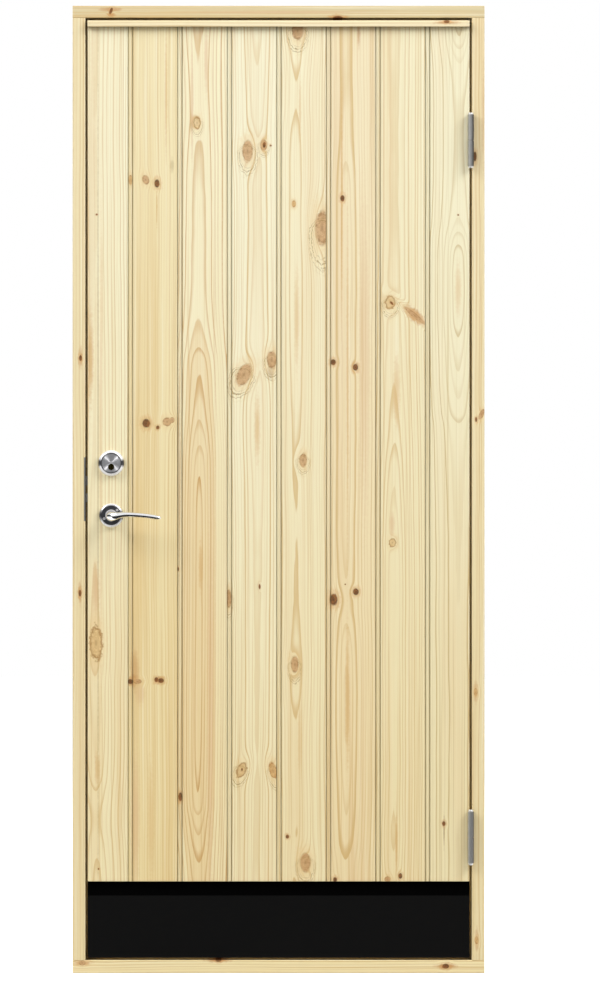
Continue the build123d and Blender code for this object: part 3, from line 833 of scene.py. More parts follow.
@dataclass(frozen=True)
class RoundPlateFinish:
    """Bright metal on a round plate, with painted dark reflections at its sides and a dish painted dark as
    shade and reflection where it has one.
    """

    name: str
    middle: tuple[float, float]
    dish: float = 0.0
    dark_reflection_span: tuple[float, float] = (0.40, 0.14)
    colour: Colour = paint(244, 244, 246)
    dark_reflection_colour: Colour = paint(56, 55, 58)
    dish_shade_colour: Colour = paint(62, 63, 67)
    smear: Colour = paint(150, 151, 154)
    polish: float = 0.4
    dish_edge: float = 0.0003

    def material(self) -> bpy.types.Material:
        """Builds the plate's material.

        Returns:
            The material.
        """
        plate = Surface(self.name)
        place = plate.object_place()
        x, _, z = plate.split(place)
        radius = plate.radius(x, z, self.middle)
        rise = plate.math("ABSOLUTE", plate.minus(z, self.middle[1]))
        # Painted dark reflections on the plate's left and right sides.
        dark_reflection = plate.ease(plate.over(rise, radius), *self.dark_reflection_span)
        # Inside the dish radius the plate is painted dark, as painted shade and dark reflection in the
        # recess.
        inside = plate.ease(radius, self.dish + self.dish_edge, self.dish - self.dish_edge)
        cloud = plate.noise(place, scale=70.0, detail=3.0)
        grooves = plate.wander(radius, pace=2400.0, seed=1.0)
        colour = plate.mix(inside, plate.mix(dark_reflection, self.colour, self.dark_reflection_colour), self.dish_shade_colour)
        colour = plate.mix(plate.times(cloud, 0.12), colour, self.smear)
        rough = plate.sloped(inside, 0.16, plate.sloped(cloud, 0.1, 0.16))
        metallic = plate.ease(inside, 0.0, 1.0, start=self.polish)
        plate.set(Base_Color=colour, Roughness=rough, Metallic=metallic)
        plate.set(Normal=plate.bump(plate.sloped(grooves, 0.5, 0.5), depth=0.00003, strength=0.4))
        return plate.material


@dataclass(frozen=True)
class CoatedSheetFinish:
    """Black coated steel sheet, with the fine skin of the coat and its folded lip painted blacker as painted
    shade under the boards.
    """

    name: str
    face: Colour = paint(20, 20, 20)
    # The lip's colour is painted shade, for the shadow of the boards' lower ends.
    shaded_lip: Colour = paint(1, 1, 1)
    skin: Colour = paint(12, 12, 13)
    fold: float = 0.1674
    fold_edge: float = 0.0006

    def material(self) -> bpy.types.Material:
        """Builds the coat's material.

        Returns:
            The material.
        """
        coat = Surface(self.name)
        place = coat.object_place()
        z = coat.split(place)[2]
        skin = coat.noise(place, scale=700.0, detail=3.0)
        cloud = coat.noise(place, scale=9.0, detail=3.0)
        # Painted shade: above the fold the lip is coloured blacker, for the shadow of the boards' lower ends.
        lip_in_shade = coat.ease(z, self.fold - self.fold_edge, self.fold + self.fold_edge)
        colour = coat.mix(lip_in_shade, self.face, self.shaded_lip)
        colour = coat.mix(coat.times(skin, 0.12), colour, self.skin)
        rough = coat.sloped(cloud, 0.1, coat.sloped(skin, 0.12, 0.5))
        coat.set(Base_Color=colour, Roughness=rough, Specular_IOR_Level=0.01)
        coat.set(Normal=coat.bump(skin, depth=0.00008, strength=0.5))
        return coat.material


@dataclass(frozen=True)
class RubberFinish:
    """Matt black rubber with a fine skin."""

    name: str
    colour: Colour = paint(24, 22, 20)
    worn: Colour = paint(36, 34, 31)

    def material(self) -> bpy.types.Material:
        """Builds the rubber's material.

        Returns:
            The material.
        """
        rubber = Surface(self.name)
        place = rubber.object_place()
        skin = rubber.noise(place, scale=500.0, detail=3.0)
        colour = rubber.mix(skin, self.colour, self.worn)
        rough = rubber.sloped(skin, 0.2, 0.65)
        rubber.set(Base_Color=colour, Roughness=rough, Specular_IOR_Level=0.3)
        rubber.set(Normal=rubber.bump(skin, depth=0.0001, strength=0.5))
        return rubber.material


def linked(name: str, form: bmesh.types.BMesh) -> bpy.types.Object:
    """Turns a form into an object of the scene.

    Args:
        name: The object's name.
        form: The form, which is freed.

    Returns:
        The object.
    """
    mesh = bpy.data.meshes.new(name)
    form.to_mesh(mesh)
    form.free()
    piece = bpy.data.objects.new(name, mesh)
    bpy.context.scene.collection.objects.link(piece)
    return piece


@dataclass(frozen=True)
class Screw:
    """A countersunk screw head with a cross recess, seated on a face."""

    radius: float = 0.0034
    height: float = 0.0008
    sunk: float = 0.0004
    profile: tuple[tuple[float, float], ...] = ((1.0, 0.35), (0.9, 0.8), (0.72, 1.0))
    recess: float = 0.0007
    recess_taper: float = 0.6
    arm: float = 0.0019
    arm_width: float = 0.0007
    sides: int = 28

    def mesh(self, name: str, seats: Sequence[Matrix]) -> bpy.types.Object:
        """Builds the heads at their seats, each looking along its seat's z.

        Args:
            name: The object's name.
            seats: Where each head sits.

        Returns:
            One object that holds the heads.
        """
        form = bmesh.new()
        for seat in seats:
            start = len(form.verts)
            self._head(form)
            form.verts.ensure_lookup_table()
            bmesh.ops.transform(form, matrix=seat, verts=form.verts[start:])
        bmesh.ops.recalc_face_normals(form, faces=form.faces)
        return linked(name, form)

    def _ring(self, form: bmesh.types.BMesh, radius: float, height: float) -> list[bmesh.types.BMVert]:
        """Adds a ring of corners at a radius and height."""
        turns = [2 * math.pi * step / self.sides for step in range(self.sides)]
        return [form.verts.new((radius * math.cos(t), radius * math.sin(t), height)) for t in turns]

    def _cross(self, form: bmesh.types.BMesh, height: float, size: float) -> list[bmesh.types.BMVert]:
        """Adds the corners of the cross recess.

        Args:
            form: The form that they go into.
            height: The height they lie at.
            size: The share of the recess's size.

        Returns:
            The corners in order.
        """
        a, b = self.arm * size, self.arm_width * size
        quarter = ((a, -b), (a, b), (b, b))
        corners = []
        for turn in range(4):
            cosine, sine = round(math.cos(turn * math.pi / 2)), round(math.sin(turn * math.pi / 2))
            corners += [(x * cosine - y * sine, x * sine + y * cosine) for x, y in quarter]
        return [form.verts.new((x, y, height)) for x, y in corners]

    def _head(self, form: bmesh.types.BMesh) -> None:
        """Adds one head that sits at the origin and looks along z.

        Args:
            form: The form that it goes into.
        """
        rings = [self._ring(form, self.radius, -self.sunk)]
        rings += [self._ring(form, self.radius * out, self.height * up) for out, up in self.profile]
        mouth = self._cross(form, self.height, 1.0)
        floor = self._cross(form, self.height - self.recess, self.recess_taper)
        form.faces.new(list(reversed(rings[0])))
        for low, high in [*zip(rings, rings[1:]), (mouth, floor)]:
            for step in range(len(low)):
                after = (step + 1) % len(low)
                form.faces.new((low[step], low[after], high[after], high[step]))
        form.faces.new(floor)
        loops = []
        for loop in (rings[-1], mouth):
            for first, second in zip(loop, loop[1:] + loop[:1]):
                loops.append(form.edges.get((first, second)))
        bmesh.ops.triangle_fill(form, edges=loops, use_beauty=True)


def seat(place: Sequence[float], looks: Sequence[float], turn: float = 0.0) -> Matrix:
    """Gives a seat for a screw.

    Args:
        place: Where the seat is, in the door's metres.
        looks: The way the head looks.
        turn: How far the cross is turned, in degrees.

    Returns:
        The seat's matrix.
    """
    spin = Vector(looks).to_track_quat("Z", "Y").to_matrix().to_4x4()
    return Matrix.Translation(Vector(place)) @ spin @ Matrix.Rotation(math.radians(turn), 4, "Z")


def dress(piece: bpy.types.Object, material: bpy.types.Material) -> str:
    """Puts a material on every slot of a piece.

    Args:
        piece: The piece.
        material: Its material.

    Returns:
        The piece's name.
    """
    if not piece.material_slots:
        piece.data.materials.append(material)
    for slot in piece.material_slots:
        slot.material = material
    return piece.name


class Assembly:
    """A part of the door that dresses its nodes and adds its small pieces."""

    def build(self, nodes: Nodes) -> Iterator[str]:
        """Builds and dresses the pieces, and gives their names."""
        raise NotImplementedError

    def fix(self, piece: bpy.types.Object, body: str, slot: str, material: bpy.types.Material) -> str:
        """Dresses a new piece and lets it ride on a body.

        Args:
            piece: The piece.
            body: The body that carries it.
            slot: Not used.
            material: Its material.

        Returns:
            The piece's name.
        """
        dress(piece, material)
        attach(piece, body)
        return piece.name


@dataclass
class DoorFrame(Assembly):
    """The fixed frame: four rebated pine bars and the seals on their stops."""

    jamb_tone: Colour = paint(240, 225, 182)
    head_tone: Colour = paint(222, 207, 164)
    sill_tone: Colour = paint(251, 237, 192)
    ring_spacing: float = 0.0045

    def build(self, nodes: Nodes) -> Iterator[str]:
        """Dresses the bars and the seals.

        Args:
            nodes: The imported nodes.

        Yields:
            Each piece's name.
        """
        for name, finish in self._bars().items():
            yield dress(nodes[name], replace(finish, spacing=self.ring_spacing).material())
        yield dress(nodes["weather_seal"], RubberFinish("seal_rubber").material())

    def _bars(self) -> dict[str, PineFinish]:
        """Gives the four bars' finishes.

        Returns:
            The finishes by node.
        """
        return {
            "lock_jamb": PineFinish(
                "lock_jamb_pine", Pith(-0.479, ((0.0, 0.05), (2.1, 0.05))), seed=21.0, tone=self.jamb_tone,
                knots=(Knot(-0.428, 1.329, 0.003, 0.006, DARK), Knot(-0.429, 0.821, 0.003, 0.007, DARK)),
                streaks=(
                    Streak(-0.428, 1.329, 0.006, 0.030, FLAME, 0.5),
                    Streak(-0.429, 0.821, 0.006, 0.03, FLAME, 0.5),
                ),
            ),
            "hinge_jamb": PineFinish(
                "hinge_jamb_pine", Pith(0.46, ((0.0, 0.04), (2.1, 0.04))), seed=27.0, tone=self.jamb_tone,
                knots=(
                    Knot(0.4243, 1.7645, 0.0034, 0.010, DARK), Knot(0.4268, 1.196, 0.0022, 0.005, DARK),
                    Knot(0.4386, 1.2076, 0.0045, 0.011, tilt=-25), Knot(0.426, 0.607, 0.004, 0.008, PALE),
                    Knot(0.428, 0.071, 0.004, 0.008, PALE),
                ),
                streaks=(
                    Streak(0.442, 1.85, 0.004, 0.16, FLAME, 0.3),
                    Streak(0.4386, 1.2076, 0.006, 0.014, FLAME, 0.8, -25),
                    Streak(0.426, 0.607, 0.006, 0.03, FLAME, 0.5),
                    Streak(0.428, 0.071, 0.006, 0.03, FLAME, 0.5),
                ),
            ),
            "head": PineFinish(
                "head_pine", Pith(2.044), Grain.CROSSWISE, seed=33.0, tone=self.head_tone,
                knots=(
                    Knot(-0.362, 2.079, 0.003, 0.007, DARK, 20), Knot(0.128, 2.0640, 0.010, 0.004, DARK),
                ),
                streaks=(
                    Streak(-0.362, 2.082, 0.030, 0.006, FLAME, 0.6),
                    Streak(-0.362, 2.070, 0.012, 0.006, FLAME, 0.6),
                    Streak(0.128, 2.066, 0.030, 0.005, FLAME, 0.4),
                    Streak(0.0, 2.076, 0.26, 0.004, ROSE, 0.5),
                ),
            ),
            "sill": PineFinish(
                "sill_pine", Pith(0.05), Grain.CROSSWISE, seed=39.0, tone=self.sill_tone,
                knots=(
                    Knot(-0.424, 0.022, 0.007, 0.005), Knot(-0.130, 0.028, 0.006, 0.0035, DARK),
                    Knot(0.361, 0.015, 0.007, 0.005, DARK),
                ),
                streaks=(
                    Streak(-0.424, 0.022, 0.024, 0.007, FLAME, 0.75),
                    Streak(-0.130, 0.027, 0.034, 0.005, FLAME, 0.7),
                    Streak(0.361, 0.015, 0.030, 0.007, FLAME, 0.7),
                ),
            ),
        }


# The boards from the lock side to the hinge side.
BOARDS = (
    PineFinish(
        "board_1_pine",
        Pith(-0.3944, (
            (0.0, 0.027), (0.2, 0.027), (0.2765, 0.030), (0.33, 0.033), (0.382, 0.030), (0.4385, 0.024),
            (0.618, 0.018), (0.678, 0.012), (0.713, 0.0105), (0.747, 0.012), (0.85, 0.015), (0.97, 0.018),
            (1.10, 0.0205), (2.1, 0.0215),
        )),
        seed=1.3, tone=paint(250, 244, 211), contrast=0.8, heart_radius=0.0178, heart_strength=0.4,
        knots=(
            Knot(-0.3944, 0.713, 0.0125, 0.0345, HOLLOW, push=0.0, lift=0.0),
            Knot(-0.389, 0.225, 0.0016, 0.0016, DARK, push=0.3, lift=0.0),
            Knot(-0.393, 1.639, 0.0018, 0.0018, DARK, push=0.3, lift=0.0),
        ),
        streaks=(
            Streak(-0.404, 1.65, 0.012, 0.50, TAN, 0.3), Streak(-0.3900, 1.10, 0.0018, 1.30, OLIVE, 0.5),
            Streak(-0.3835, 1.15, 0.0045, 0.60, TAN, 0.4), Streak(-0.407, 1.331, 0.009, 0.120, AMBER, 0.6),
            Streak(-0.394, 0.828, 0.010, 0.065, ROSE, 0.5),
            Streak(-0.391, 0.440, 0.008, 0.045, AMBER, 0.45),
        ),
    ),
    PineFinish(
        "board_2_pine", Pith(-0.162, ((0.0, 0.05), (2.1, 0.055))), seed=2.9, banding=0.9,
        tone=paint(244, 230, 186), heart=paint(235, 212, 160), spacing=0.0052, contrast=0.45,
        knots=(
            Knot(-0.286, 1.188, 0.008, 0.009, DARK, push=0.7), Knot(-0.261, 1.179, 0.0034, 0.004, DARK),
            Knot(-0.241, 1.191, 0.009, 0.009, tilt=-30), Knot(-0.230, 1.195, 0.005, 0.006),
            Knot(-0.320, 0.630, 0.006, 0.005, DARK), Knot(-0.305, 0.630, 0.009, 0.005),
            Knot(-0.264, 0.634, 0.004, 0.005, DARK), Knot(-0.254, 0.632, 0.006, 0.005, DARK),
            Knot(-0.287, 1.714, 0.007, 0.010, tilt=20), Knot(-0.2627, 1.706, 0.0052, 0.0085, DARK),
            Knot(-0.320, 1.714, 0.004, 0.010, PALE),
        ),
        streaks=(
            Streak(-0.311, 0.655, 0.012, 0.055, FLAME, 0.4),
            Streak(-0.313, 0.632, 0.014, 0.016, FLAME, 0.6),
            Streak(-0.260, 0.633, 0.012, 0.012, FLAME, 0.55),
            Streak(-0.300, 0.605, 0.014, 0.035, ROSE, 0.4), Streak(-0.309, 0.330, 0.011, 0.190, ROSE, 0.5),
            Streak(-0.276, 0.330, 0.009, 0.170, AMBER, 0.3),
            Streak(-0.2630, 1.655, 0.002, 0.050, AMBER, 0.6),
            Streak(-0.243, 1.90, 0.004, 0.16, AMBER, 0.45),
            Streak(-0.230, 1.745, 0.006, 0.020, OLIVE, 0.35),
        ),
    ),
    PineFinish(
        "board_3_pine",
        Pith(-0.1724, (
            (0.0, 0.034), (0.216, 0.028), (0.285, 0.0224), (0.3348, 0.0168), (0.3695, 0.0112),
            (0.5, 0.0065), (0.8, 0.006), (1.0, 0.007), (1.10, 0.0112), (1.152, 0.0168), (1.212, 0.0224),
            (1.318, 0.028), (1.362, 0.0336), (1.44, 0.0392), (1.56, 0.0405), (1.75, 0.042), (1.88, 0.0448),
            (2.1, 0.040),
        )),
        seed=3.7, tone=paint(249, 241, 206), line=paint(205, 158, 92), heart=paint(237, 213, 166),
        heart_radius=0.0395, heart_strength=0.6, spacing=0.0056, contrast=0.85, stripe=0.35, banding=0.2,
        knots=(
            Knot(-0.176, 1.837, 0.007, 0.012, HOLLOW, lift=0.006, collar=0.7),
            Knot(-0.212, 0.381, 0.004, 0.009, DARK), Knot(-0.217, 0.873, 0.0018, 0.004, DARK),
        ),
        streaks=(
            Streak(-0.1476, 0.55, 0.009, 0.55, ROSE, 0.4),
            Streak(-0.1275, 1.10, 0.0125, 0.80, SAPWOOD, 0.7),
            Streak(-0.2165, 1.060, 0.006, 0.270, UMBER, 0.4),
            Streak(-0.168, 0.880, 0.006, 0.070, AMBER, 0.5), Streak(-0.1565, 1.97, 0.006, 0.09, ROSE, 0.5),
            Streak(-0.187, 1.88, 0.004, 0.16, ROSE, 0.5),
        ),
    ),
    PineFinish(
        "board_4_pine",
        Pith(-0.0463, (
            (0.0, 0.020), (0.2, 0.021), (0.5, 0.022), (0.9, 0.0205), (1.10, 0.018), (1.18, 0.0165),
            (1.258, 0.018), (1.32, 0.0205), (1.394, 0.024), (1.7, 0.027), (1.91, 0.024), (2.1, 0.016),
        )),
        seed=4.1, tone=paint(249, 243, 212), contrast=0.7,
        knots=(
            Knot(-0.075, 1.293, 0.014, 0.024, tilt=-25, lift=0.010, collar=0.5),
            Knot(-0.015, 1.325, 0.010, 0.018, lift=0.008, collar=0.8),
            Knot(-0.041, 0.835, 0.002, 0.005, DARK),
            Knot(-0.108, 0.809, 0.006, 0.019, lift=0.008, collar=0.3),
            Knot(-0.080, 0.439, 0.009, 0.016, HOLLOW, -20, lift=0.008, collar=0.7),
            Knot(-0.079, 0.440, 0.0015, 0.003, DARK),
            Knot(-0.012, 0.438, 0.008, 0.018, PALE, 15, lift=0.008, collar=0.9),
            Knot(-0.067, 1.776, 0.011, 0.022, lift=0.010, collar=0.6),
            Knot(-0.0321, 1.789, 0.007, 0.012, collar=0.4), Knot(-0.031, 1.789, 0.003, 0.006, DARK),
            Knot(-0.017, 1.788, 0.0018, 0.0018, DARK),
        ),
        streaks=(
            Streak(-0.046, 1.178, 0.008, 0.090, TAN, 0.6), Streak(-0.018, 1.298, 0.010, 0.020, UMBER, 0.45),
        ),
    ),
    PineFinish(
        "board_5_pine",
        Pith(0.0377, (
            (0.0, 0.020), (0.2, 0.020), (0.4, 0.0225), (0.55, 0.0215), (0.61, 0.018), (0.667, 0.0165),
            (0.72, 0.0190), (0.9, 0.0215), (1.1, 0.0205), (1.30, 0.017), (1.53, 0.0155), (1.65, 0.0165),
            (1.798, 0.018), (1.9, 0.0225), (1.98, 0.018), (2.03, 0.013), (2.1, 0.010),
        )),
        seed=5.3, tone=paint(248, 240, 206), spacing=0.0057, contrast=0.66,
        knots=(
            Knot(0.041, 2.036, 0.012, 0.019, lift=0.006, collar=0.8),
            Knot(0.033, 1.662, 0.004, 0.007, PALE),
            Knot(0.094, 1.610, 0.014, 0.036, lift=0.016, collar=0.9),
            Knot(0.053, 1.108, 0.008, 0.014, lift=0.008, collar=0.3),
            Knot(0.035, 0.667, 0.008, 0.017, lift=0.008, collar=0.8),
            Knot(0.019, 0.295, 0.0035, 0.004, DARK),
            Knot(0.058, 0.239, 0.011, 0.020, lift=0.012, collar=0.6),
        ),
        streaks=(
            Streak(0.039, 1.416, 0.007, 0.130, AMBER, 0.4), Streak(0.046, 0.500, 0.006, 0.110, TAN, 0.4),
            Streak(0.0465, 1.865, 0.0035, 0.090, TAN, 0.55),
        ),
    ),
    PineFinish(
        "board_6_pine",
        Pith(0.1466, (
            (0.0, 0.034), (0.2225, 0.030), (0.2917, 0.024), (0.454, 0.018), (0.58, 0.0155), (0.696, 0.018),
            (0.75, 0.021), (0.797, 0.024), (0.86, 0.0215), (1.3, 0.019), (1.7, 0.0195), (1.815, 0.024),
            (2.1, 0.0241),
        )),
        seed=6.7, tone=paint(245, 231, 194), heart=paint(233, 205, 163),
        banding=0.6,
        knots=(
            Knot(0.138, 1.674, 0.0045, 0.0065, DARK), Knot(0.118, 1.320, 0.0055, 0.006, DARK),
            Knot(0.166, 1.309, 0.0055, 0.007, DARK), Knot(0.119, 0.807, 0.008, 0.012, DARK),
            Knot(0.167, 0.824, 0.006, 0.007, DARK),
            Knot(0.144, 0.840, 0.0013, 0.0013, DARK, push=0, lift=0),
            Knot(0.122, 0.202, 0.004, 0.005, DARK),
        ),
        streaks=(
            Streak(0.1365, 1.660, 0.0030, 0.300, AMBER, 0.6),
            Streak(0.149, 1.300, 0.0035, 0.450, AMBER, 0.5), Streak(0.149, 0.600, 0.006, 0.190, AMBER, 0.5),
            Streak(0.185, 1.330, 0.016, 0.420, ROSE, 0.35), Streak(0.173, 2.03, 0.004, 0.035, FLAME, 0.5),
        ),
    ),
    PineFinish(
        "board_7_pine",
        Pith(0.2495, (
            (0.0, 0.022), (0.2, 0.019), (0.249, 0.0162), (0.3, 0.0145), (0.36, 0.0162), (0.6, 0.0165),
            (0.8, 0.0165), (0.93, 0.0175), (1.0695, 0.0216), (1.172, 0.027), (1.45, 0.0335), (2.1, 0.034),
        )),
        seed=7.9, tone=paint(246, 237, 201), spacing=0.0054,
        knots=(
            Knot(0.241, 1.449, 0.010, 0.013, HOLLOW, lift=0.010, collar=0.9),
            Knot(0.2445, 1.4475, 0.0022, 0.0045, DARK, 40),
            Knot(0.294, 1.421, 0.028, 0.0045, tilt=-40, lift=0.008),
            Knot(0.246, 0.930, 0.007, 0.009, HOLLOW, lift=0.006), Knot(0.235, 0.203, 0.006, 0.006),
            Knot(0.263, 0.210, 0.004, 0.006, DARK),
        ),
        streaks=(
            Streak(0.255, 1.258, 0.010, 0.095, TAN, 0.6),
            Streak(0.294, 1.421, 0.036, 0.015, FLAME, 0.9, -40),
            Streak(0.245, 0.970, 0.007, 0.035, ROSE, 0.5), Streak(0.255, 0.280, 0.004, 0.075, AMBER, 0.5),
        ),
    ),
    PineFinish(
        "board_8_pine",
        Pith(0.3886, (
            (0.0, 0.040), (0.6, 0.042), (1.0, 0.040), (1.1735, 0.036), (1.2124, 0.030), (1.2815, 0.024),
            (1.368, 0.018), (1.43, 0.0125), (1.53, 0.0125), (1.58, 0.018), (1.64, 0.028), (1.8, 0.033),
            (1.931, 0.030), (1.988, 0.024), (2.02, 0.018), (2.1, 0.010),
        )),
        seed=8.3, tone=paint(246, 239, 206), line=paint(212, 190, 140),
        knots=(
            Knot(0.388, 1.638, 0.0016, 0.0016, DARK, push=0, lift=0),
            Knot(0.357, 0.323, 0.0035, 0.005, DARK),
        ),
        streaks=(
            Streak(0.388, 1.476, 0.009, 0.070, TAN, 0.45), Streak(0.3575, 0.308, 0.002, 0.045, UMBER, 0.6),
        ),
    ),
)


@dataclass
class Leaf(Assembly):
    """The swinging leaf: boards, drip strip and kick plate in front, stiles, rails and panel behind."""

    # The strength of the painted shade in the boards' grooves.
    groove_shading_strength: float = 0.52
    # How much darker and yellower the boards grow towards the bottom.
    board_low_darkening: float = 1.0
    seams: tuple[float, ...] = (-0.3255, -0.2185, -0.1115, -0.0045, 0.1025, 0.2095, 0.3165)

    def build(self, nodes: Nodes) -> Iterator[str]:
        """Dresses the leaf's nodes.

        Args:
            nodes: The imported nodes.

        Yields:
            Each piece's name.
        """
        for name, finish in {**self._boards(), **self._core()}.items():
            yield dress(nodes[name], finish.material())
        yield dress(nodes["kick_plate"], CoatedSheetFinish("black_coated_steel").material())

    def _boards(self) -> dict[str, PineFinish]:
        """Gives the boards' finishes, from the lock side to the hinge side.

        Returns:
            The finishes by node.
        """
        return {
            f"board_{number}": replace(board, groove_shading=self.groove_shading_strength, low_darkening=self.board_low_darkening, bead=edge)
            for number, (board, edge) in enumerate(zip(BOARDS, (None, *self.seams)), 1)
        }

    def _core(self) -> dict[str, PineFinish]:
        """Gives the finishes of the drip strip, stiles, rails and back panel.

        Returns:
            The finishes by node.
        """
        crosswise = Grain.CROSSWISE
        return {
            "drip_strip": PineFinish(
                "drip_strip_pine", Pith(2.07, ((0.0, 0.02), (2.1, 0.02))), crosswise, seed=45.0,
                tone=paint(244, 228, 188),
                knots=(Knot(0.363, 2.055, 0.006, 0.003, DARK),),
                streaks=(Streak(0.363, 2.053, 0.035, 0.005, FLAME, 0.6),),
            ),
            "lock_stile": PineFinish("lock_stile_pine", Pith(-0.34), seed=51.0),
            "hinge_stile": PineFinish("hinge_stile_pine", Pith(0.34), seed=57.0),
            "top_rail": PineFinish("top_rail_pine", Pith(2.02), crosswise, seed=63.0),
            "bottom_rail": PineFinish("bottom_rail_pine", Pith(0.12), crosswise, seed=69.0),
            "back_panel": PineFinish(
                "back_panel_veneer",
                Pith(0.04, ((0.0, 0.02), (0.4, 0.06), (0.8, 0.105), (1.3, 0.07), (1.7, 0.09), (2.1, 0.03))),
                seed=75.0, tone=paint(238, 218, 176), spacing=0.008, contrast=0.6, banding=0.6,
            ),
        }


@dataclass
class HingePair(Assembly):
    """The two lift-off hinges with their end caps, and the screws in their plates."""

    heights: tuple[float, float] = (1.799, 0.2935)
    leaf_face: float = 0.4125
    frame_face: float = 0.4175
    # Where the barrels' painted shade runs from their lit side to their dark side, across the door.
    shaded: tuple[float, float] = (0.4110, 0.4205)
    screws: tuple[tuple[float, float], ...] = ((-0.021, 0.010), (-0.031, 0.028), (-0.021, 0.046))
    screw_turn: float = 17.0

    def build(self, nodes: Nodes) -> Iterator[str]:
        """Dresses the hinges and adds their screws.

        Args:
            nodes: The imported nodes.

        Yields:
            Each piece's name.
        """
        steel = MetalFinish(
            "hinge_steel", paint(190, 189, 186), 0.32, 0.1, Turning.DRAWN, shaded=self.shaded
        ).material()
        caps = MetalFinish("hinge_cap_steel", paint(222, 221, 219), 0.42, 0.08).material()
        for level, height in zip(("upper", "lower"), self.heights):
            yield dress(nodes[f"{level}_hinge_leaf_half"], steel)
            yield dress(nodes[f"{level}_hinge_frame_half"], steel)
            yield dress(nodes[f"{level}_hinge_head_cap"], caps)
            yield dress(nodes[f"{level}_hinge_foot_cap"], caps)
            for body, face, way in (("leaf", self.leaf_face, 1.0), ("frame", self.frame_face, -1.0)):
                seats = [
                    seat((face, y, height + way * rise), (way, 0.0, 0.0), self.screw_turn * number)
                    for number, (y, rise) in enumerate(self.screws)
                ]
                heads = Screw().mesh(f"{level}_hinge_{body}_screws", seats)
                yield self.fix(heads, body, "hinge_steel", steel)


@dataclass
class LockSet(Assembly):
    """The mortise lock with its bolts, the strike plate in the jamb, and the plates' screws."""

    middle: tuple[float, float] = (-0.017, 1.0455)
    faceplate_face: float = -0.4125
    faceplate_reach: float = 0.1075
    strike_face: float = -0.4175
    strike_reach: float = 0.060
    screw_turn: float = 31.0

    def build(self, nodes: Nodes) -> Iterator[str]:
        """Dresses the lock, its bolts and the strike, and adds the screws.

        Args:
            nodes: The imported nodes.

        Yields:
            Each piece's name.
        """
        steel = MetalFinish("lock_steel", paint(142, 142, 138), 0.4, 0.12, Turning.DRAWN).material()
        bright = MetalFinish(
            "bolt_steel", roughness=0.5, marks=Turning.DRAWN, satin_within=1.0, satin=paint(250, 248, 240)
        ).material()
        for name in ("mortise_lock", "strike_plate"):
            yield dress(nodes[name], steel)
        for name in ("latch_bolt", "dead_bolt"):
            yield dress(nodes[name], bright)
        plates = (
            ("faceplate_screws", "leaf", self.faceplate_face, -1.0, self.faceplate_reach),
            ("strike_screws", "frame", self.strike_face, 1.0, self.strike_reach),
        )
        y, z = self.middle
        for name, body, face, way, reach in plates:
            seats = [
                seat((face, y, z + end * reach), (way, 0.0, 0.0), self.screw_turn * end) for end in (-1, 1)
            ]
            yield self.fix(Screw().mesh(name, seats), body, "lock_steel", steel)


@dataclass
class LeverSet(Assembly):
    """The levers, their rosettes and spindle, and the rosettes' screws."""

    axis: tuple[float, float] = (-0.3615, 0.989)
    dish_depth: float = 0.0074
    dish_radius: float = 0.0212
    collar_end: float = 0.0425
    leaf_back: float = 0.003
    screw_radius: float = 0.0030
    screw_turn: float = 20.0
    screws: tuple[tuple[float, float], ...] = ((0.0128, 0.0112), (-0.0150, -0.0070))

    def build(self, nodes: Nodes) -> Iterator[str]:
        """Dresses the lever set and adds the rosettes' screws.

        Args:
            nodes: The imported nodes.

        Yields:
            Each piece's name.
        """
        chrome = MetalFinish(
            "lever_chrome", paint(240, 241, 243), 0.1, 0.04, satin_within=self.collar_end
        ).material()
        rose = RoundPlateFinish("rosette_chrome", self.axis, self.dish_radius, (0.75, 0.1)).material()
        steel = MetalFinish("spindle_steel", paint(180, 180, 180), 0.35, 0.1).material()
        for side in ("outer", "inner"):
            yield dress(nodes[f"{side}_lever"], chrome)
            yield dress(nodes[f"{side}_rosette"], rose)
        yield dress(nodes["lever_spindle"], steel)
        faces = {"outer": (FACE - self.dish_depth, -1.0), "inner": (self.leaf_back + self.dish_depth, 1.0)}
        for side, (face, looks) in faces.items():
            seats = [
                seat((self.axis[0] + dx, face, self.axis[1] + dz), (0.0, looks, 0.0), self.screw_turn)
                for dx, dz in self.screws
            ]
            heads = Screw(radius=self.screw_radius).mesh(f"{side}_rosette_screws", seats)
            yield self.fix(heads, "leaf", "polished_chrome", chrome)


@dataclass
class CylinderSet(Assembly):
    """The lock cylinder on both sides with its rings, and the key plug."""

    axis: tuple[float, float] = (-0.3615, 1.102)
    lip_radius: float = 0.0222

    def build(self, nodes: Nodes) -> Iterator[str]:
        """Dresses the rings, cylinders and plug.

        Args:
            nodes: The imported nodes.

        Yields:
            Each piece's name.
        """
        chrome = RoundPlateFinish("ring_chrome", self.axis, self.lip_radius, polish=0.15).material()
        # The turned face gets painted highlight spokes.
        turned = MetalFinish(
            "turned_steel", paint(206, 206, 209), 0.5, 0.06, Turning.TURNED, self.axis, anisotropy=1.0,
            spoke_highlight=0.8,
        ).material()
        brass = MetalFinish("plug_brass", paint(48, 42, 18), 0.35, 0.1).material()
        for side in ("outer", "inner"):
            yield dress(nodes[f"{side}_cylinder_ring"], chrome)
            yield dress(nodes[f"{side}_cylinder"], turned)
        yield dress(nodes["key_plug"], brass)


@dataclass(frozen=True)
class Lamp:
    """A large square soft lamp."""

    name: str
    place: tuple[float, float, float]
    power: float
    size: float = 4.6

    def hang(self, aim: Vector) -> None:
        """Hangs the lamp.

        Args:
            aim: Where it shines.
        """
        data = bpy.data.lights.new(self.name, "AREA")
        data.size = self.size
        data.energy = self.power
        lamp = bpy.data.objects.new(self.name, data)
        lamp.location = self.place
        lamp.rotation_euler = (aim - Vector(self.place)).to_track_quat("-Z", "Y").to_euler()
        bpy.context.scene.collection.objects.link(lamp)


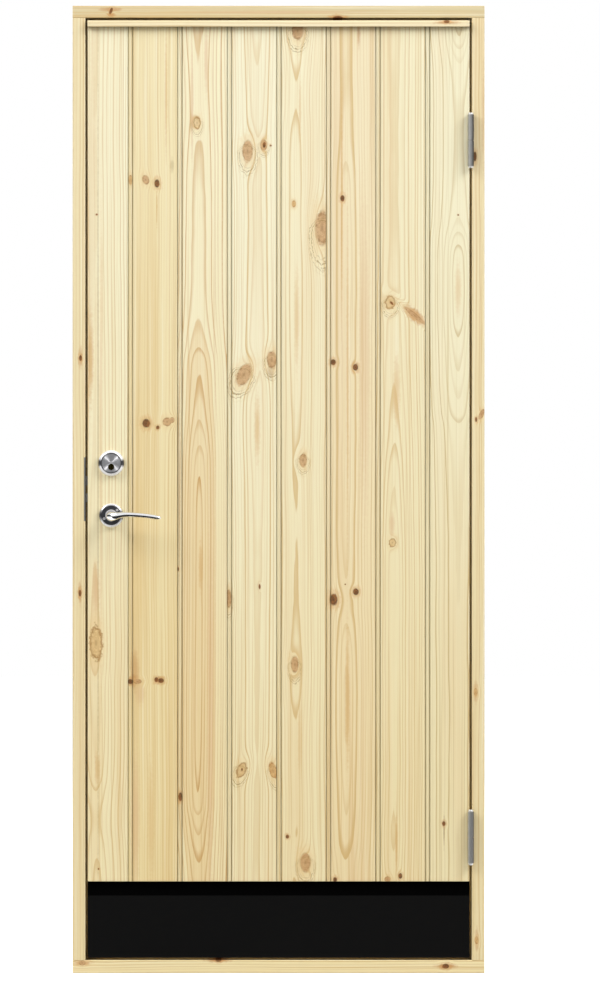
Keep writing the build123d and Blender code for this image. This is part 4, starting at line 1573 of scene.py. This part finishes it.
@dataclass
class Studio:
    """The camera, the pale floor and the soft light around the door."""

    camera_place: tuple[float, float, float] = (0.0463, -18.05, 1.0222)
    lens: float = 300.0
    far_clip: float = 200.0
    floor_half: float = 30.0
    floor_level: float = -0.0006
    floor_glow: float = 0.84
    floor_tones: tuple[Colour, Colour] = (paint(217, 217, 216), paint(213, 213, 212))
    lamps: tuple[Lamp, ...] = (
        Lamp("left_lamp", (-6.5, -3.9, 7.7), 600.0),
        Lamp("right_lamp", (6.5, -3.9, 7.7), 720.0),
        Lamp("back_lamp", (-2.0, 7.5, 6.5), 380.0),
    )
    aim: tuple[float, float, float] = (0.0, 0.0, 1.1)
    fill: float = 0.25
    side_shade: float = 0.93
    side_limits: tuple[float, float] = (0.78, 0.9)
    flag: tuple[float, float, float] = (-0.375, -0.23, 30.0)
    flag_spread: float = 1.6
    flag_root: float = 0.2
    flag_blur: tuple[float, float, float, float] = (0.002, 0.004, 0.2, 0.05)
    flag_tone: Colour = paint(46, 46, 47)

    def build(self) -> None:
        """Sets up the camera, floor, lamps and world."""
        self._camera()
        self._floor()
        for lamp in self.lamps:
            lamp.hang(Vector(self.aim))
        self._world()
        bpy.context.scene.view_settings.view_transform = "Standard"

    def _camera(self) -> None:
        """Adds the camera, straight in front of the door."""
        data = bpy.data.cameras.new("front_camera")
        data.lens = self.lens
        data.clip_end = self.far_clip
        camera = bpy.data.objects.new("front_camera", data)
        camera.location = self.camera_place
        camera.rotation_euler = (math.pi / 2, 0.0, 0.0)
        bpy.context.scene.collection.objects.link(camera)
        bpy.context.scene.camera = camera

    def _floor(self) -> None:
        """Adds the pale floor, which looks white but keeps the door's shadow."""
        half = self.floor_half
        form = bmesh.new()
        corners = ((-half, -half), (half, -half), (half, half), (-half, half))
        form.faces.new([form.verts.new((x, y, self.floor_level)) for x, y in corners])
        floor = linked("floor", form)
        surface = Surface("pale_floor")
        place = surface.object_place()
        rays = surface.node("LightPath").outputs
        dim = self._flag(surface, place, rays["Is Glossy Ray"])
        grain = surface.mix(surface.noise(place, scale=3.0), *self.floor_tones)
        seen = surface.math("MAXIMUM", rays["Is Camera Ray"], surface.minus(rays["Is Glossy Ray"], dim))
        surface.set(Base_Color=surface.mix(dim, grain, self.flag_tone), Roughness=0.9)
        surface.set(Specular_IOR_Level=0.0, Emission_Color=WHITE)
        surface.set(Emission_Strength=surface.times(seen, self.floor_glow))
        dress(floor, surface.material)

    def _flag(self, surface: Surface, place: Socket, mirrored: Socket) -> Socket:
        """Lays a dark flag on the floor in front of the lever, which shows only in bright metal.

        Args:
            surface: The floor's material.
            place: The place on the floor.
            mirrored: Whether the floor is seen in bright metal.

        Returns:
            How far the flag darkens the floor.
        """
        x, y, _ = surface.split(place)
        left, right, length = self.flag
        left_blur, right_blur, end_blur, root_blur = self.flag_blur
        beyond = surface.math("MINIMUM", surface.math("ADD", y, self.flag_root), 0.0)
        left_edge = surface.sloped(beyond, -self.flag_spread, surface.minus(x, left))
        right_edge = surface.sloped(y, self.flag_spread, surface.minus(x, right))
        limits = (
            mirrored, surface.ease(left_edge, -left_blur, left_blur),
            surface.ease(right_edge, right_blur, -right_blur),
            surface.ease(y, -length - end_blur, -length + end_blur), surface.ease(y, 0.0, -root_blur),
        )
        return surface.total(limits, "MULTIPLY")

    def _world(self) -> None:
        """Makes the surroundings: white where they are seen or mirrored, and a soft fill for the rest."""
        world = bpy.data.worlds.new("studio")
        world.use_nodes = True
        bpy.context.scene.world = world
        graph = Graph(world.node_tree)
        rays = graph.node("LightPath").outputs
        kinds = ("Camera", "Glossy", "Transmission")
        seen = graph.total([rays[f"Is {kind} Ray"] for kind in kinds], "MAXIMUM")
        sideways = graph.math("ABSOLUTE", graph.split(graph.node("TexCoord").outputs["Generated"])[0])
        shade = graph.ease(sideways, *self.side_limits, end=self.side_shade)
        dark_sides = graph.times(rays["Is Glossy Ray"], shade)
        level = graph.ease(seen, 0.0, 1.0, start=self.fill)
        background = world.node_tree.nodes["Background"]
        graph.feed(background.inputs["Color"], WHITE)
        graph.feed(background.inputs["Strength"], graph.minus(level, dark_sides))


def main() -> None:
    """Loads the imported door, builds its assemblies in order and sets up the studio."""
    logging.basicConfig(level=logging.INFO, format="%(name)s: %(message)s")
    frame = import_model()
    for assembly in (DoorFrame(), Leaf(), HingePair(), LockSet(), LeverSet(), CylinderSet()):
        for name in assembly.build(frame["nodes"]):
            LOG.info("%s: %s", type(assembly).__name__, name)
    Studio().build()


if __name__ == "__main__":
    main()
